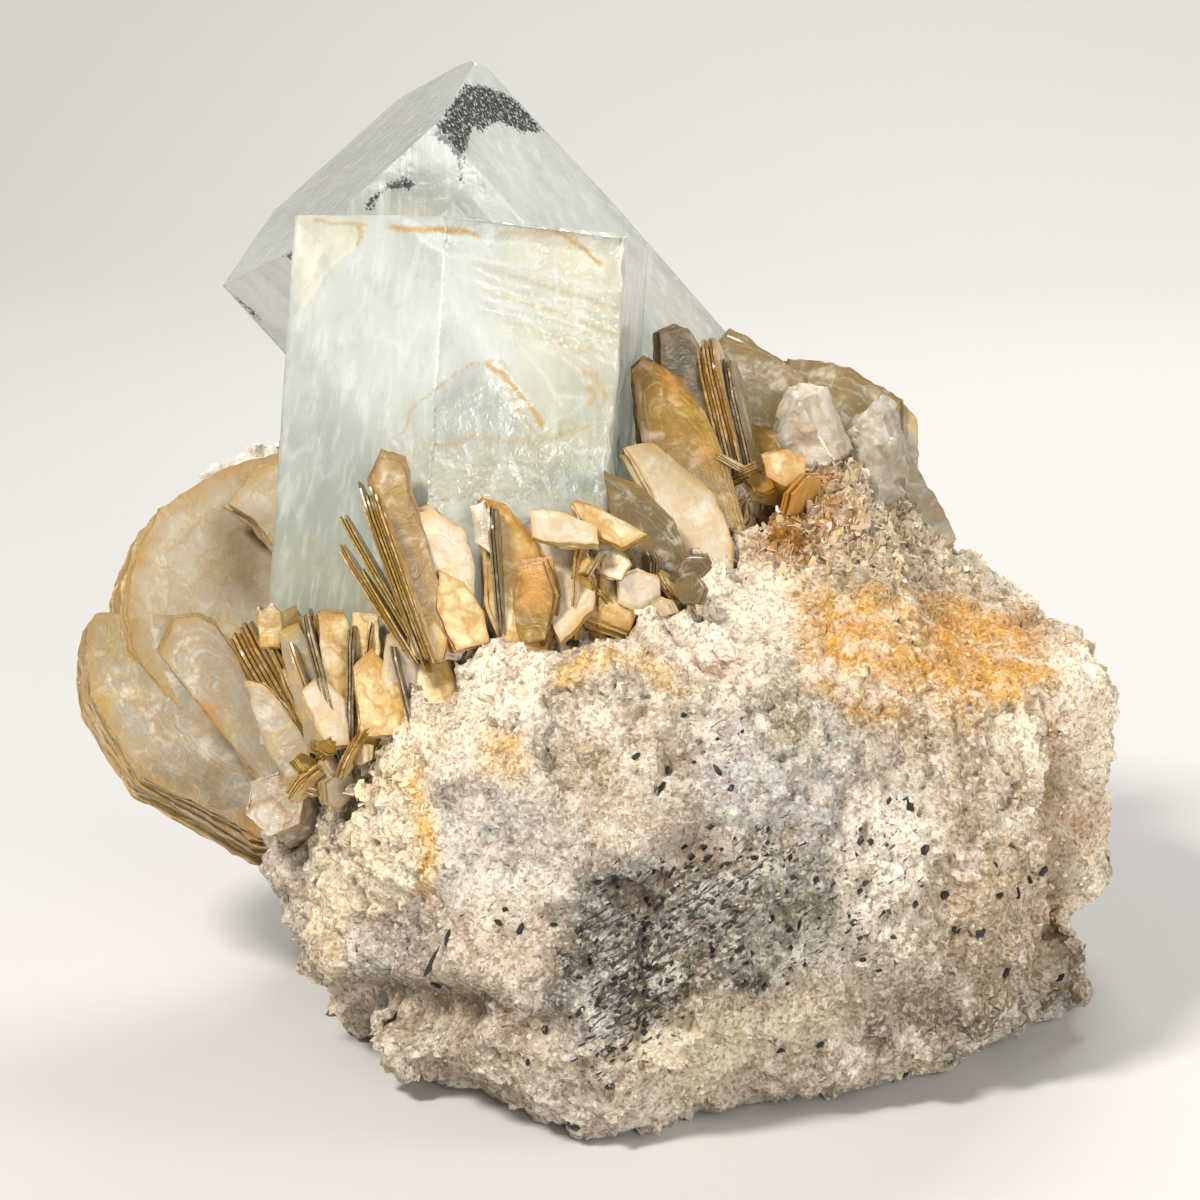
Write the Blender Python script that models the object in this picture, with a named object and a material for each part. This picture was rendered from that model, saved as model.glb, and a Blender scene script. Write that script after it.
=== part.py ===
"""Aquamarine on feldspar: two intergrown aquamarine prisms, books of muscovite mica and small
quartz crystals, standing on a broken block of granitic feldspar that rests on a flat base.

Shapes are given in millimetres, as seen from the display side: across to the right, up, and
behind, away from the viewer. The last step turns them into metres, with the origin in the
middle of the base.
"""

import math
import random

import bmesh
import bpy
from mathutils import Matrix, Vector, noise

METRES = 0.001

# The display side is looked at from slightly above, from a fixed distance.
VIEW_TILT = math.radians(15)
EYE_DISTANCE = 400.0
CENTRE_HEIGHT = 40.3
STAND_CENTRE = Vector((0.61, 7.73, 0.02))

# Pieces that touch keep this much room between them.
GAP = 0.3

# The two aquamarine prisms and the small one grown beside the second.
FRONT_RADIUS = 17.2
FRONT_LENGTH = 47.0
FRONT_TURN = math.radians(-6.7)
BACK_RADIUS = 16.5
BACK_LENGTH = 47.0
STEP_RADIUS = 9.0
STEP_LENGTH = 30.0

# The matrix: a lump between a front and a back bulge, inset a little from its rim.
LUMP_CENTRE = (7.0, -17.0)
FRONT_BULGE = -29.0
BACK_BULGE = 46.0
RIM_INSET = 1.2
LUMP_FINENESS = 5
VOXEL = 1.3
MATRIX_TRIANGLES = 2600

# Fracture blocks and grain: size across, and how far each one tilts and steps.
BLOCK_OFFSETS = (Vector((11.0, 0.0, 0.0)), Vector((0.0, 23.0, 0.0)), Vector((0.0, 0.0, 37.0)))
BLOCK_SIZES = ((14.0, 3.4, 1.7), (6.5, 1.8, 0.8))
ROUGHNESS_SIZES = ((4.5, 0.45),)

ACROSS = Vector((1.0, 0.0, 0.0))
UP = Vector((0.0, math.sin(VIEW_TILT), math.cos(VIEW_TILT)))
BEHIND = Vector((0.0, math.cos(VIEW_TILT), -math.sin(VIEW_TILT)))

# Ring profiles of a mica sheet: share of the outline, share of the thickness. Rings up to
# BACK_SHARE of the thickness belong to its back.
BACK_SHARE = 0.2
SHEET = ((1.0, 0.0), (1.0, 1.0))
BOOK = ((0.62, 0.0), (1.0, 0.06), (1.0, 0.45), (0.93, 0.5), (0.9, 1.0), (0.5, 1.0))
THICK_BOOK = (
    (0.62, 0.0), (0.97, 0.03), (1.0, 0.3), (0.95, 0.33),
    (0.95, 0.62), (0.88, 0.66), (0.86, 1.0), (0.5, 1.0),
)


def heading(across, up, behind):
    """The direction in space of a direction given as seen from the display side."""
    return (ACROSS * across + UP * up + BEHIND * behind).normalized()


def spot(across, up, behind):
    """The place in space of a point given as seen from the display side."""
    spread = 1.0 + behind / EYE_DISTANCE
    centre = Vector((0.0, 0.0, CENTRE_HEIGHT))
    return centre + BEHIND * behind + (ACROSS * across + UP * up) * spread


def mesh_object(name, points, faces):
    mesh = bpy.data.meshes.new(name)
    mesh.from_pydata([tuple(point) for point in points], [], faces)
    obj = bpy.data.objects.new(name, mesh)
    bpy.context.scene.collection.objects.link(obj)
    face_outwards(obj)
    return obj


def face_outwards(obj):
    work = bmesh.new()
    work.from_mesh(obj.data)
    bmesh.ops.recalc_face_normals(work, faces=work.faces)
    work.to_mesh(obj.data)
    work.free()


def remove(obj):
    mesh = obj.data
    bpy.data.objects.remove(obj)
    bpy.data.meshes.remove(mesh)


def settle(obj):
    """Turns an object's modifiers into its mesh."""
    graph = bpy.context.evaluated_depsgraph_get()
    made = bpy.data.meshes.new_from_object(obj.evaluated_get(graph))
    old = obj.data
    obj.modifiers.clear()
    obj.data = made
    made.name = obj.name
    bpy.data.meshes.remove(old)


def combine(obj, other, operation):
    """A Boolean of obj with other, which is used up."""
    modifier = obj.modifiers.new("combine", "BOOLEAN")
    modifier.operation = operation
    modifier.solver = "EXACT"
    modifier.object = other
    settle(obj)
    remove(other)


def fused(name, pieces):
    """One solid from pieces that overlap."""
    whole = pieces[0]
    for piece in pieces[1:]:
        combine(whole, piece, "UNION")
    whole.name = name
    return whole


def keep_largest(obj):
    """Drops the chips that a cut leaves loose."""
    work = bmesh.new()
    work.from_mesh(obj.data)
    unseen = set(work.verts)
    islands = []
    while unseen:
        front = [unseen.pop()]
        island = set(front)
        while front:
            for edge in front.pop().link_edges:
                for vert in edge.verts:
                    if vert in unseen:
                        unseen.remove(vert)
                        island.add(vert)
                        front.append(vert)
        islands.append(island)

    def size(island):
        low = [min(vert.co[axis] for vert in island) for axis in range(3)]
        high = [max(vert.co[axis] for vert in island) for axis in range(3)]
        return sum(top - bottom for top, bottom in zip(high, low))

    islands.sort(key=size, reverse=True)
    loose = [vert for island in islands[1:] for vert in island]
    bmesh.ops.delete(work, geom=loose, context="VERTS")
    work.to_mesh(obj.data)
    work.free()


def slice_off(obj, point, outwards):
    """Cuts flat whatever lies past a plane."""
    work = bmesh.new()
    work.from_mesh(obj.data)
    parts = list(work.verts) + list(work.edges) + list(work.faces)
    bmesh.ops.bisect_plane(
        work, geom=parts, plane_co=point, plane_no=outwards, clear_outer=True
    )
    edges = [edge for edge in work.edges if edge.is_boundary]
    bmesh.ops.holes_fill(work, edges=edges, sides=0)
    bmesh.ops.recalc_face_normals(work, faces=work.faces)
    work.to_mesh(obj.data)
    work.free()


# Crystals


def prism(foot, axis, first_corner, radius, length, grow=0.0):
    """A six-sided prism from its foot along its axis, with its first corner towards a direction."""
    side = axis.cross(first_corner).normalized()
    face_to = side.cross(axis).normalized()
    wide = radius + grow * 1.2
    rings = []
    for along in (-grow, length + grow):
        middle = foot + axis * along
        for corner in range(6):
            turn = math.radians(60 * corner)
            rings.append(middle + (face_to * math.cos(turn) + side * math.sin(turn)) * wide)
    sides = [(k, (k + 1) % 6, (k + 1) % 6 + 6, k + 6) for k in range(6)]
    return mesh_object("prism", rings, [tuple(range(6)), tuple(range(6, 12)), *sides])


def front_prism(grow):
    axis = heading(0.066, 0.998, 0.0)
    top = spot(-11.3, 33.0, 1.0)
    corner = heading(math.sin(FRONT_TURN), 0.0, -math.cos(FRONT_TURN))
    return prism(top - axis * FRONT_LENGTH, axis, corner, FRONT_RADIUS, FRONT_LENGTH, grow)


def back_prism(grow):
    axis = heading(-0.648, 0.719, -0.252)
    top = spot(-22.3, 38.8, 21.0)
    corner = heading(0.743, 0.669, 0.0)
    return prism(top - axis * BACK_LENGTH, axis, corner, BACK_RADIUS, BACK_LENGTH, grow)


def step_prism(grow):
    """The lower individual that stands a little proud of the second prism's broad face."""
    axis = heading(-0.648, 0.719, -0.252)
    top = spot(-17.4, 33.6, 13.6)
    corner = heading(0.743, 0.669, 0.0)
    return prism(top - axis * STEP_LENGTH, axis, corner, STEP_RADIUS, STEP_LENGTH, grow)


def aquamarine(grow=0.0):
    return fused("aquamarine", [front_prism(grow), back_prism(grow), step_prism(grow)])


def chunk(centre, size, turns, seed, corners=14, grow=0.0):
    """An angular lump: the hull of points scattered on an ellipsoid."""
    draw = random.Random(seed)
    turn = Matrix.Rotation(math.radians(turns[0]), 3, "X") @ Matrix.Rotation(
        math.radians(turns[1]), 3, "Z"
    )
    work = bmesh.new()
    middle = spot(*centre)
    for index in range(corners):
        height = 1.0 - 2.0 * (index + 0.5) / corners
        angle = index * math.radians(137.5) + draw.uniform(-0.4, 0.4)
        flat = math.sqrt(1.0 - height * height)
        reach = draw.uniform(0.86, 1.08)
        local = Vector((math.cos(angle) * flat, math.sin(angle) * flat, height)) * reach
        local = Vector(part * (half / 2.0 + grow) for part, half in zip(local, size))
        local = turn @ local
        work.verts.new(middle + as_seen(local))
    hull = bmesh.ops.convex_hull(work, input=work.verts)
    inner = [item for item in hull["geom_interior"] if isinstance(item, bmesh.types.BMVert)]
    bmesh.ops.delete(work, geom=inner, context="VERTS")
    mesh = bpy.data.meshes.new("chunk")
    work.to_mesh(mesh)
    work.free()
    obj = bpy.data.objects.new("chunk", mesh)
    bpy.context.scene.collection.objects.link(obj)
    face_outwards(obj)
    return obj


def as_seen(local):
    """A vector given as seen from the display side, with its length kept."""
    return ACROSS * local[0] + UP * local[1] + BEHIND * local[2]


def quartz_upper(grow=0.0):
    """The cloudy crystal at the upper right, with one broad face to the viewer."""
    body = chunk((18.6, 14.6, 15.0), (9.5, 12.0, 11.0), (10, 25), seed=4, corners=12, grow=grow)
    body.name = "quartz_crystal_cloudy"
    return body


def quartz_smoky(grow=0.0):
    body = chunk((24.6, 12.6, 19.0), (8.5, 14.0, 10.0), (-10, -20), seed=9, corners=12, grow=grow)
    body.name = "quartz_crystal_smoky"
    return body


def small_hex_crystal(grow=0.0):
    """A short clear six-sided crystal low on the left, seen nearly end-on."""
    axis = heading(-0.25, 0.2, -0.95)
    top = spot(-29.3, -18.2, -9.0)
    length = 13.0
    obj = prism(top - axis * length, axis, heading(0.2, 1.0, 0.2), 3.1, length, grow)
    obj.name = "small_hex_crystal"
    return obj


# Mica


def plate(centre, along, aside, outline, thick, rings=SHEET, cup=0.0, grow=0.0):
    """A sheet or a stepped book in the plane of two directions, hollowed by cup at its middle.

    Grown to cut room in a neighbour, a flat one loses its steps.
    """
    along, aside = Vector(along), Vector(aside)
    out = along.cross(aside).normalized()
    if out.z > 0:
        out = -out
    reach = max(math.hypot(x, y) for x, y in outline)
    if grow > 0 and cup == 0:
        rings = SHEET
    rings = [(0.0, rings[0][1]), *rings, (0.0, rings[-1][1])]
    points = []
    for share, height in rings:
        outer = 1.0 if height > BACK_SHARE else -1.0
        rise = (height - 0.5) * thick + outer * grow
        corners = outline if share > 0 else [(0.0, 0.0)]
        for x, y in corners:
            far = max(math.hypot(x, y), 0.001)
            widen = (share * far + (grow * 1.3 if share > 0 else 0.0)) / far
            hollow = cup * (1.0 - (share * far / reach) ** 2)
            place = Vector(centre) + along * x * widen + aside * y * widen
            points.append(spot(*(place + out * (rise - hollow))))
    count = len(outline)
    faces = [(0, 1 + k, 1 + (k + 1) % count) for k in range(count)]
    for ring in range(len(rings) - 3):
        start = 1 + ring * count
        for k in range(count):
            after = (k + 1) % count
            faces.append((start + k, start + after, start + count + after, start + count + k))
    last = len(points) - 1
    start = last - count
    faces += [(last, start + k, start + (k + 1) % count) for k in range(count)]
    return mesh_object("plate", points, faces)


def middle_of(outline):
    """The centroid of the area inside an outline."""
    area, across, up = 0.0, 0.0, 0.0
    for (x, y), (x_next, y_next) in zip(outline, [*outline[1:], outline[0]]):
        slice_area = x * y_next - x_next * y
        area += slice_area
        across += (x + x_next) * slice_area
        up += (y + y_next) * slice_area
    return across / (3.0 * area), up / (3.0 * area)


def facing(outline, behind, lean, thick, rings=SHEET, cup=0.0, grow=0.0):
    """A plate given by its outline as seen, its depth at its middle and how it leans away."""
    middle = middle_of(outline)
    offsets = [(across - middle[0], up - middle[1]) for across, up in outline]
    centre = (middle[0], middle[1], behind)
    return plate(centre, (1, 0, lean[0]), (0, 1, lean[1]), offsets, thick, rings, cup, grow)


def edgewise(top, foot, depths, thick, rings=SHEET, grow=0.0, twist=0.15):
    """A plate seen on its edge, from its top to its foot, reaching between two depths."""
    run = Vector((foot[0] - top[0], foot[1] - top[1], 0.0))
    half = run.length / 2
    run.normalize()
    middle = ((top[0] + foot[0]) / 2, (top[1] + foot[1]) / 2, sum(depths) / 2)
    deep = (depths[1] - depths[0]) / 2
    aside = (twist, 0.0, 1.0)
    outline = [
        (-half, -0.5 * deep), (-0.7 * half, -0.9 * deep), (0.3 * half, -deep), (half, -0.8 * deep),
        (half, 0.8 * deep), (0.1 * half, deep), (-0.75 * half, 0.8 * deep), (-half, 0.3 * deep),
    ]
    return plate(middle, run, aside, outline, thick, rings, 0.0, grow)


def book_left_large(grow=0.0):
    """The big cupped book on the left, behind the others."""
    outline = [
        (-43.3, 1.4), (-42.6, 3.6), (-40.8, 7.4), (-39.0, 8.9), (-35.5, 10.9), (-32.9, 11.9),
        (-28.9, 13.0), (-24.0, 11.0), (-20.0, 4.0), (-18.0, -5.0), (-19.0, -13.0), (-27.0, -14.5),
        (-34.5, -11.8), (-37.3, -11.3), (-39.8, -9.1), (-43.0, -5.2), (-43.5, -1.8),
    ]
    body = facing(outline, 20.0, (0.35, 0.12), 5.5, THICK_BOOK, 3.2, grow)
    plate_two = [
        (-33.6, 8.6), (-31.1, 11.9), (-28.9, 12.7), (-25.0, 11.0), (-23.0, 3.0), (-26.0, 0.0),
        (-29.4, 4.3), (-31.1, 6.8),
    ]
    inner = facing(plate_two, 18.6, (0.3, 0.15), 2.2, SHEET, 0.0, grow)
    return fused("mica_book_left_large", [body, inner])


def book_left_low(grow=0.0):
    """The book below it, which reaches furthest to the left."""
    outline = [
        (-46.7, -2.5), (-46.1, -1.7), (-42.0, -1.4), (-36.0, -2.0), (-29.0, -7.0), (-23.0, -13.0),
        (-20.0, -19.0), (-24.0, -24.0), (-31.0, -22.7), (-36.7, -19.4), (-41.9, -16.7),
        (-44.6, -12.6), (-46.6, -9.0), (-47.0, -5.5),
    ]
    body = facing(outline, 10.0, (0.1, -0.1), 5.0, THICK_BOOK, 0.6, grow)
    body.name = "mica_book_left_low"
    return body


def book_left_pointed(grow=0.0):
    """The book with a pointed end in front of both."""
    outline = [
        (-40.0, -4.3), (-38.4, -1.3), (-36.5, -1.1), (-34.6, -2.0), (-32.8, -4.4), (-30.0, -10.0),
        (-27.4, -16.0), (-26.6, -21.0), (-29.0, -18.0), (-31.8, -14.6), (-34.3, -11.5),
        (-38.2, -6.8),
    ]
    body = facing(outline, 2.0, (0.0, -0.12), 4.0, BOOK, 0.0, grow)
    body.name = "mica_book_left_pointed"
    return body


def book_left_edge(grow=0.0):
    """The long book seen on its edge, between the pointed book and the fan."""
    stack = edgewise((-32.9, -1.6), (-23.6, -17.5), (-9.0, 1.5), 2.6, BOOK, grow, 0.1)
    leaf = edgewise((-30.6, -0.6), (-23.0, -16.5), (-11.0, -3.0), 1.2, SHEET, grow, 0.1)
    return fused("mica_book_left_edge", [stack, leaf])


def fan_left(grow=0.0):
    """Plates at the left foot of the front prism that fan out from one point."""
    leaf_a = [(-29.1, -2.4), (-27.0, -1.6), (-24.6, -6.0), (-22.8, -15.0), (-26.0, -14.0), (-28.0, -7.0)]
    leaf_b = [
        (-25.7, -0.5), (-23.2, -0.4), (-22.2, -3.6), (-21.6, -9.0), (-21.8, -15.0), (-24.4, -12.5),
        (-25.4, -4.5),
    ]
    leaf_c = [(-22.2, -1.1), (-20.0, -1.3), (-19.6, -4.5), (-20.2, -10.0), (-21.5, -15.0), (-22.8, -8.0)]
    pieces = [
        facing(leaf_b, -15.0, (0.35, 0.05), 1.6, BOOK, 0.0, grow),
        facing(leaf_a, -13.5, (-0.35, 0.0), 1.5, BOOK, 0.0, grow),
        facing(leaf_c, -15.5, (-0.3, 0.1), 1.3, SHEET, 0.0, grow),
        edgewise((-26.4, -0.9), (-22.6, -15.0), (-17.5, -11.0), 0.9, SHEET, grow),
        edgewise((-22.1, -2.1), (-22.2, -14.0), (-17.5, -12.0), 0.8, SHEET, grow),
    ]
    return fused("mica_fan_left", pieces)


def fan_small(grow=0.0):
    """The low plates between the fan and the spray."""
    leaf = [(-19.4, -2.6), (-17.4, -2.2), (-15.6, -5.0), (-16.0, -11.5), (-19.0, -12.0), (-19.8, -7.0)]
    second = [(-16.2, -4.6), (-13.6, -5.0), (-12.4, -8.0), (-13.0, -11.0), (-16.4, -11.0)]
    pieces = [
        facing(leaf, -16.6, (0.2, 0.1), 1.8, BOOK, 0.0, grow),
        facing(second, -17.6, (-0.2, 0.2), 1.6, BOOK, 0.0, grow),
    ]
    return fused("mica_fan_small", pieces)


def spray_centre(grow=0.0):
    """The tall blades that stand in front of the front prism."""
    tall = [
        (-21.0, 11.3), (-19.8, 13.7), (-17.7, 13.1), (-16.9, 9.8), (-15.6, 5.4), (-13.6, -2.0),
        (-13.2, -8.0), (-15.8, -8.0), (-17.4, -2.0), (-19.6, 4.0),
    ]
    wide = [
        (-17.5, 8.3), (-15.3, 8.7), (-12.2, 6.5), (-11.0, 3.2), (-11.4, -2.0), (-12.3, -7.0),
        (-15.2, -7.0), (-16.0, -1.0),
    ]
    pieces = [
        facing(tall, -18.8, (0.1, 0.05), 1.9, BOOK, 0.0, grow),
        facing(wide, -18.0, (0.3, 0.05), 1.4, BOOK, 0.0, grow),
        edgewise((-21.2, 10.8), (-14.9, -6.5), (-22.0, -17.0), 1.7, BOOK, grow),
        edgewise((-23.1, 7.6), (-15.8, -5.0), (-20.5, -17.5), 0.8, SHEET, grow),
        edgewise((-23.4, 5.1), (-17.0, -5.0), (-20.0, -16.5), 0.7, SHEET, grow),
    ]
    return fused("mica_spray_centre", pieces)


def cluster_centre(grow=0.0):
    """The jumble of plates at the foot of the front prism, right of the spray."""
    blade = [(-11.0, 9.3), (-8.8, 8.7), (-5.9, 5.4), (-3.6, 0.5), (-4.4, -5.5), (-8.0, -6.0), (-10.4, -1.0)]
    lens = [(-6.6, 7.4), (-2.9, 8.3), (0.2, 4.6), (-0.4, -1.5), (-3.4, -5.0), (-5.6, 0.0)]
    roof = [(-2.9, 8.8), (1.0, 7.6), (4.4, 5.6), (4.6, 0.5), (2.4, -3.5), (-1.5, -2.0), (-2.4, 3.0)]
    ring = [(-7.4, 3.6), (-4.6, 4.0), (-3.6, 0.6), (-4.6, -4.4), (-7.2, -4.6), (-8.0, -1.0)]
    pieces = [
        facing(blade, -16.0, (0.25, 0.3), 1.6, BOOK, 0.0, grow),
        facing(lens, -14.4, (0.1, 0.6), 1.4, BOOK, 0.0, grow),
        facing(roof, -11.8, (0.3, 0.7), 1.5, BOOK, 0.0, grow),
        facing(ring, -17.4, (-0.3, 0.1), 1.8, BOOK, 0.0, grow),
        edgewise((-9.6, 8.6), (-8.4, -5.0), (-18.5, -14.5), 0.9, SHEET, grow),
        edgewise((1.0, 4.6), (0.6, -3.8), (-15.5, -10.5), 1.1, SHEET, grow, 0.5),
        edgewise((4.0, 4.6), (3.4, -3.0), (-13.5, -8.5), 1.1, SHEET, grow, -0.5),
    ]
    return fused("mica_cluster_centre", pieces)


def jumble(name, centre, spread, count, seed, grow):
    """Small six-sided plates thrown together at all angles round a place, fused to one solid."""
    draw = random.Random(seed)
    pieces = []
    for index in range(count):
        turn = Matrix.Rotation(draw.uniform(0, math.pi), 3, "Z") @ Matrix.Rotation(
            draw.uniform(0.6, 1.5), 3, "X"
        )
        turn = Matrix.Rotation(draw.uniform(0, math.tau), 3, "Y") @ turn
        size = draw.uniform(2.1, 3.4)
        outline = [
            (size * math.cos(math.radians(60 * k)), 1.3 * size * math.sin(math.radians(60 * k)))
            for k in range(6)
        ]
        middle = [
            value + draw.uniform(-0.5, 0.5) * width * (index > 0)
            for value, width in zip(centre, spread)
        ]
        along, aside = turn.col[0], turn.col[1]
        thick = draw.uniform(0.8, 1.5)
        pieces.append(plate(middle, along, aside, outline, thick, SHEET, 0.0, grow))
    return fused(name, pieces)


def jumble_centre(grow=0.0):
    return jumble("mica_jumble_centre", (5.6, 1.0, -11.5), (9.0, 5.0, 5.0), 6, 12, grow)


def jumble_upper(grow=0.0):
    return jumble("mica_jumble_upper", (13.6, 8.0, -1.0), (5.0, 7.0, 7.0), 5, 31, grow)


def jumble_left(grow=0.0):
    """The granular tan mica in front of the fan's foot."""
    return jumble("mica_jumble_left", (-22.5, -15.6, -16.0), (7.0, 4.0, 4.0), 6, 5, grow)


def blade_grey(grow=0.0):
    outline = [(0.3, 11.6), (3.6, 10.4), (6.6, 7.2), (8.4, 2.6), (7.0, -2.0), (3.4, 0.0), (1.2, 6.0)]
    body = facing(outline, -10.6, (0.3, 0.3), 1.3, BOOK, 0.0, grow)
    body.name = "mica_blade_grey"
    return body


def blade_beige(grow=0.0):
    outline = [
        (1.7, 14.0), (4.5, 14.2), (10.2, 9.6), (12.0, 5.0), (12.0, -1.5), (8.6, -1.0), (6.4, 6.0), (3.6, 10.6),
    ]
    body = facing(outline, -6.6, (0.3, 0.25), 1.6, BOOK, 0.0, grow)
    body.name = "mica_blade_beige"
    return body


def blade_amber(grow=0.0):
    """The lens-shaped blade leaning on the front prism's right edge."""
    outline = [
        (2.8, 21.1), (3.9, 22.1), (6.9, 20.0), (9.2, 16.9), (11.1, 12.2), (13.0, 5.0), (13.0, 0.0),
        (9.0, 2.0), (5.6, 9.0), (3.2, 14.5),
    ]
    body = facing(outline, -2.4, (0.2, 0.1), 2.6, BOOK, -1.0, grow)
    body.name = "mica_blade_amber"
    return body


def books_right(grow=0.0):
    """Striated books behind the amber blade."""
    tall = [
        (4.8, 24.2), (6.4, 24.8), (8.0, 24.3), (9.8, 21.1), (12.5, 14.3), (14.5, 5.0), (10.0, 3.0), (5.5, 12.0),
    ]
    pieces = [
        facing(tall, 3.6, (0.15, 0.1), 3.2, THICK_BOOK, 0.0, grow),
        edgewise((9.6, 23.6), (14.2, 5.0), (1.0, 9.0), 1.8, BOOK, grow),
        edgewise((11.4, 21.6), (15.6, 4.0), (2.0, 9.5), 1.4, SHEET, grow),
    ]
    return fused("mica_books_right", pieces)


def slabs_ridge(grow=0.0):
    """The ragged row of amber slabs along the crest at the upper right."""
    first = [
        (10.6, 23.6), (11.2, 24.4), (13.5, 23.3), (16.3, 21.6), (18.6, 20.0), (18.0, 7.0), (11.5, 7.0),
    ]
    second = [
        (16.0, 21.4), (20.2, 21.2), (22.3, 20.6), (25.8, 18.5), (27.1, 17.9), (27.5, 6.0), (17.0, 6.0),
    ]
    third = [
        (25.6, 18.2), (27.1, 17.9), (28.4, 16.3), (28.5, 11.5), (30.2, 8.8), (32.0, 4.8), (27.0, 1.0),
        (24.5, 8.0),
    ]
    pieces = [
        facing(first, 20.0, (0.2, 0.1), 3.4, BOOK, 0.0, grow),
        facing(second, 24.5, (0.15, 0.15), 4.2, THICK_BOOK, 0.0, grow),
        facing(third, 25.5, (0.1, 0.2), 4.0, THICK_BOOK, 0.0, grow),
    ]
    return fused("mica_slabs_ridge", pieces)


def book_rusty(grow=0.0):
    """The rusty book between the amber blade and the cloudy quartz."""
    outline = [(12.4, 16.0), (15.6, 15.0), (17.4, 10.0), (18.4, 3.0), (14.4, 1.0), (12.6, 8.0)]
    body = facing(outline, 6.0, (0.2, 0.35), 3.0, BOOK, 0.0, grow)
    body.name = "mica_book_rusty"
    return body


def albite_rim(grow=0.0):
    """The ragged white blade that shows behind the big left book."""
    outline = [
        (-35.6, 10.4), (-35.0, 12.0), (-32.4, 12.6), (-31.1, 13.7), (-28.6, 14.6), (-23.0, 13.0),
        (-19.0, 0.0), (-20.0, -12.0), (-28.0, -10.0), (-34.0, 2.0),
    ]
    body = facing(outline, 28.5, (0.3, 0.1), 2.4, BOOK, 2.0, grow)
    body.name = "albite_blade_left"
    return body


# The matrix

RIM = (
    (47.0, -12.0, 22.0), (46.3, -6.0, 24.0), (43.5, -2.5, 26.0), (40.0, -1.2, 27.0),
    (36.5, 1.0, 27.0), (33.0, 3.6, 26.0), (30.0, 7.5, 23.0), (26.5, 12.0, 20.0), (18.0, 14.0, 19.0),
    (10.0, 13.5, 22.0), (2.0, 9.0, 25.0), (-7.0, 4.0, 25.0), (-16.0, -1.0, 21.0),
    (-23.0, -7.5, 16.0), (-27.5, -14.0, 10.0), (-30.5, -20.0, 6.0), (-32.0, -24.0, 2.0),
    (-29.0, -27.0, 0.0), (-27.3, -30.0, 4.0), (-25.4, -35.0, 8.0), (-23.6, -39.0, 10.0),
    (-19.8, -42.0, 2.0), (-15.0, -44.0, -4.0), (-10.8, -45.4, -7.0), (-5.0, -48.0, -12.0),
    (0.9, -49.6, -15.0), (5.0, -49.0, -14.0), (9.0, -47.0, -9.0), (14.0, -45.8, -5.0),
    (20.0, -44.8, -3.0), (27.0, -44.0, -1.0), (31.0, -43.0, 2.0), (35.0, -41.0, 8.0),
    (39.6, -39.2, 12.0), (43.2, -36.4, 16.0), (43.9, -33.0, 18.0), (42.8, -30.0, 19.0),
    (42.3, -28.4, 20.0), (45.0, -27.0, 20.0), (46.1, -20.0, 20.0), (45.6, -17.6, 21.0),
)

# Angular lumps fused to it: the middle of each, its size and its turns.
LUMPS = (
    ((2.0, -11.5, -22.0), (14.0, 14.0, 15.0), (0, 10)),  # the boulder under the micas
    ((-6.0, -7.5, -17.0), (22.0, 13.0, 19.0), (0, -10)),  # pale seat of the spray
    ((5.0, -5.5, -13.0), (22.0, 13.0, 20.0), (0, 15)),  # pale seat of the centre cluster
    ((14.0, -14.0, -20.0), (16.0, 15.0, 14.0), (10, -20)),  # its right neighbour
    ((-14.0, -12.0, -15.5), (15.0, 14.0, 15.0), (-5, 30)),  # crest to the left
    ((-21.0, -18.0, -10.5), (15.0, 13.0, 14.0), (0, -15)),  # left shoulder
    ((-27.5, -24.5, -2.0), (9.0, 6.5, 12.0), (10, 10)),  # pink lump low on the left
    ((26.0, -13.0, -12.0), (18.0, 14.0, 18.0), (0, 15)),  # crest to the right
    ((37.0, -16.0, 4.0), (16.0, 14.0, 18.0), (20, 35)),  # pale block
    ((41.2, -14.0, 20.0), (10.0, 22.0, 16.0), (0, -10)),  # chunk at the far right
    ((19.0, 5.0, 12.0), (22.0, 17.0, 22.0), (10, 0)),  # rusty rise under the ridge
    ((27.5, 3.0, 20.0), (12.0, 14.0, 16.0), (0, 20)),  # its right end
    ((27.0, -29.0, -14.0), (20.0, 15.0, 14.0), (0, -25)),  # pale patch low on the right
    ((4.0, -32.0, -19.0), (20.0, 17.0, 16.0), (10, 20)),  # bulge below the boulder
    ((-12.0, -30.0, -14.0), (19.0, 17.0, 16.0), (-10, -30)),  # bulge low on the left
    ((12.0, 2.0, -3.0), (16.0, 9.0, 18.0), (25, 0)),  # seat of the right books
    ((30.0, -10.0, 40.0), (20.0, 16.0, 14.0), (0, 25)),  # lumps of the far side
    ((12.0, -2.0, 38.0), (32.0, 26.0, 24.0), (0, -15)),
    ((13.0, 6.5, 41.0), (25.0, 23.0, 21.0), (0, 20)),  # rise round the foot of the second prism
    ((-12.0, -14.0, 38.0), (20.0, 16.0, 14.0), (10, 40)),
)

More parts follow.
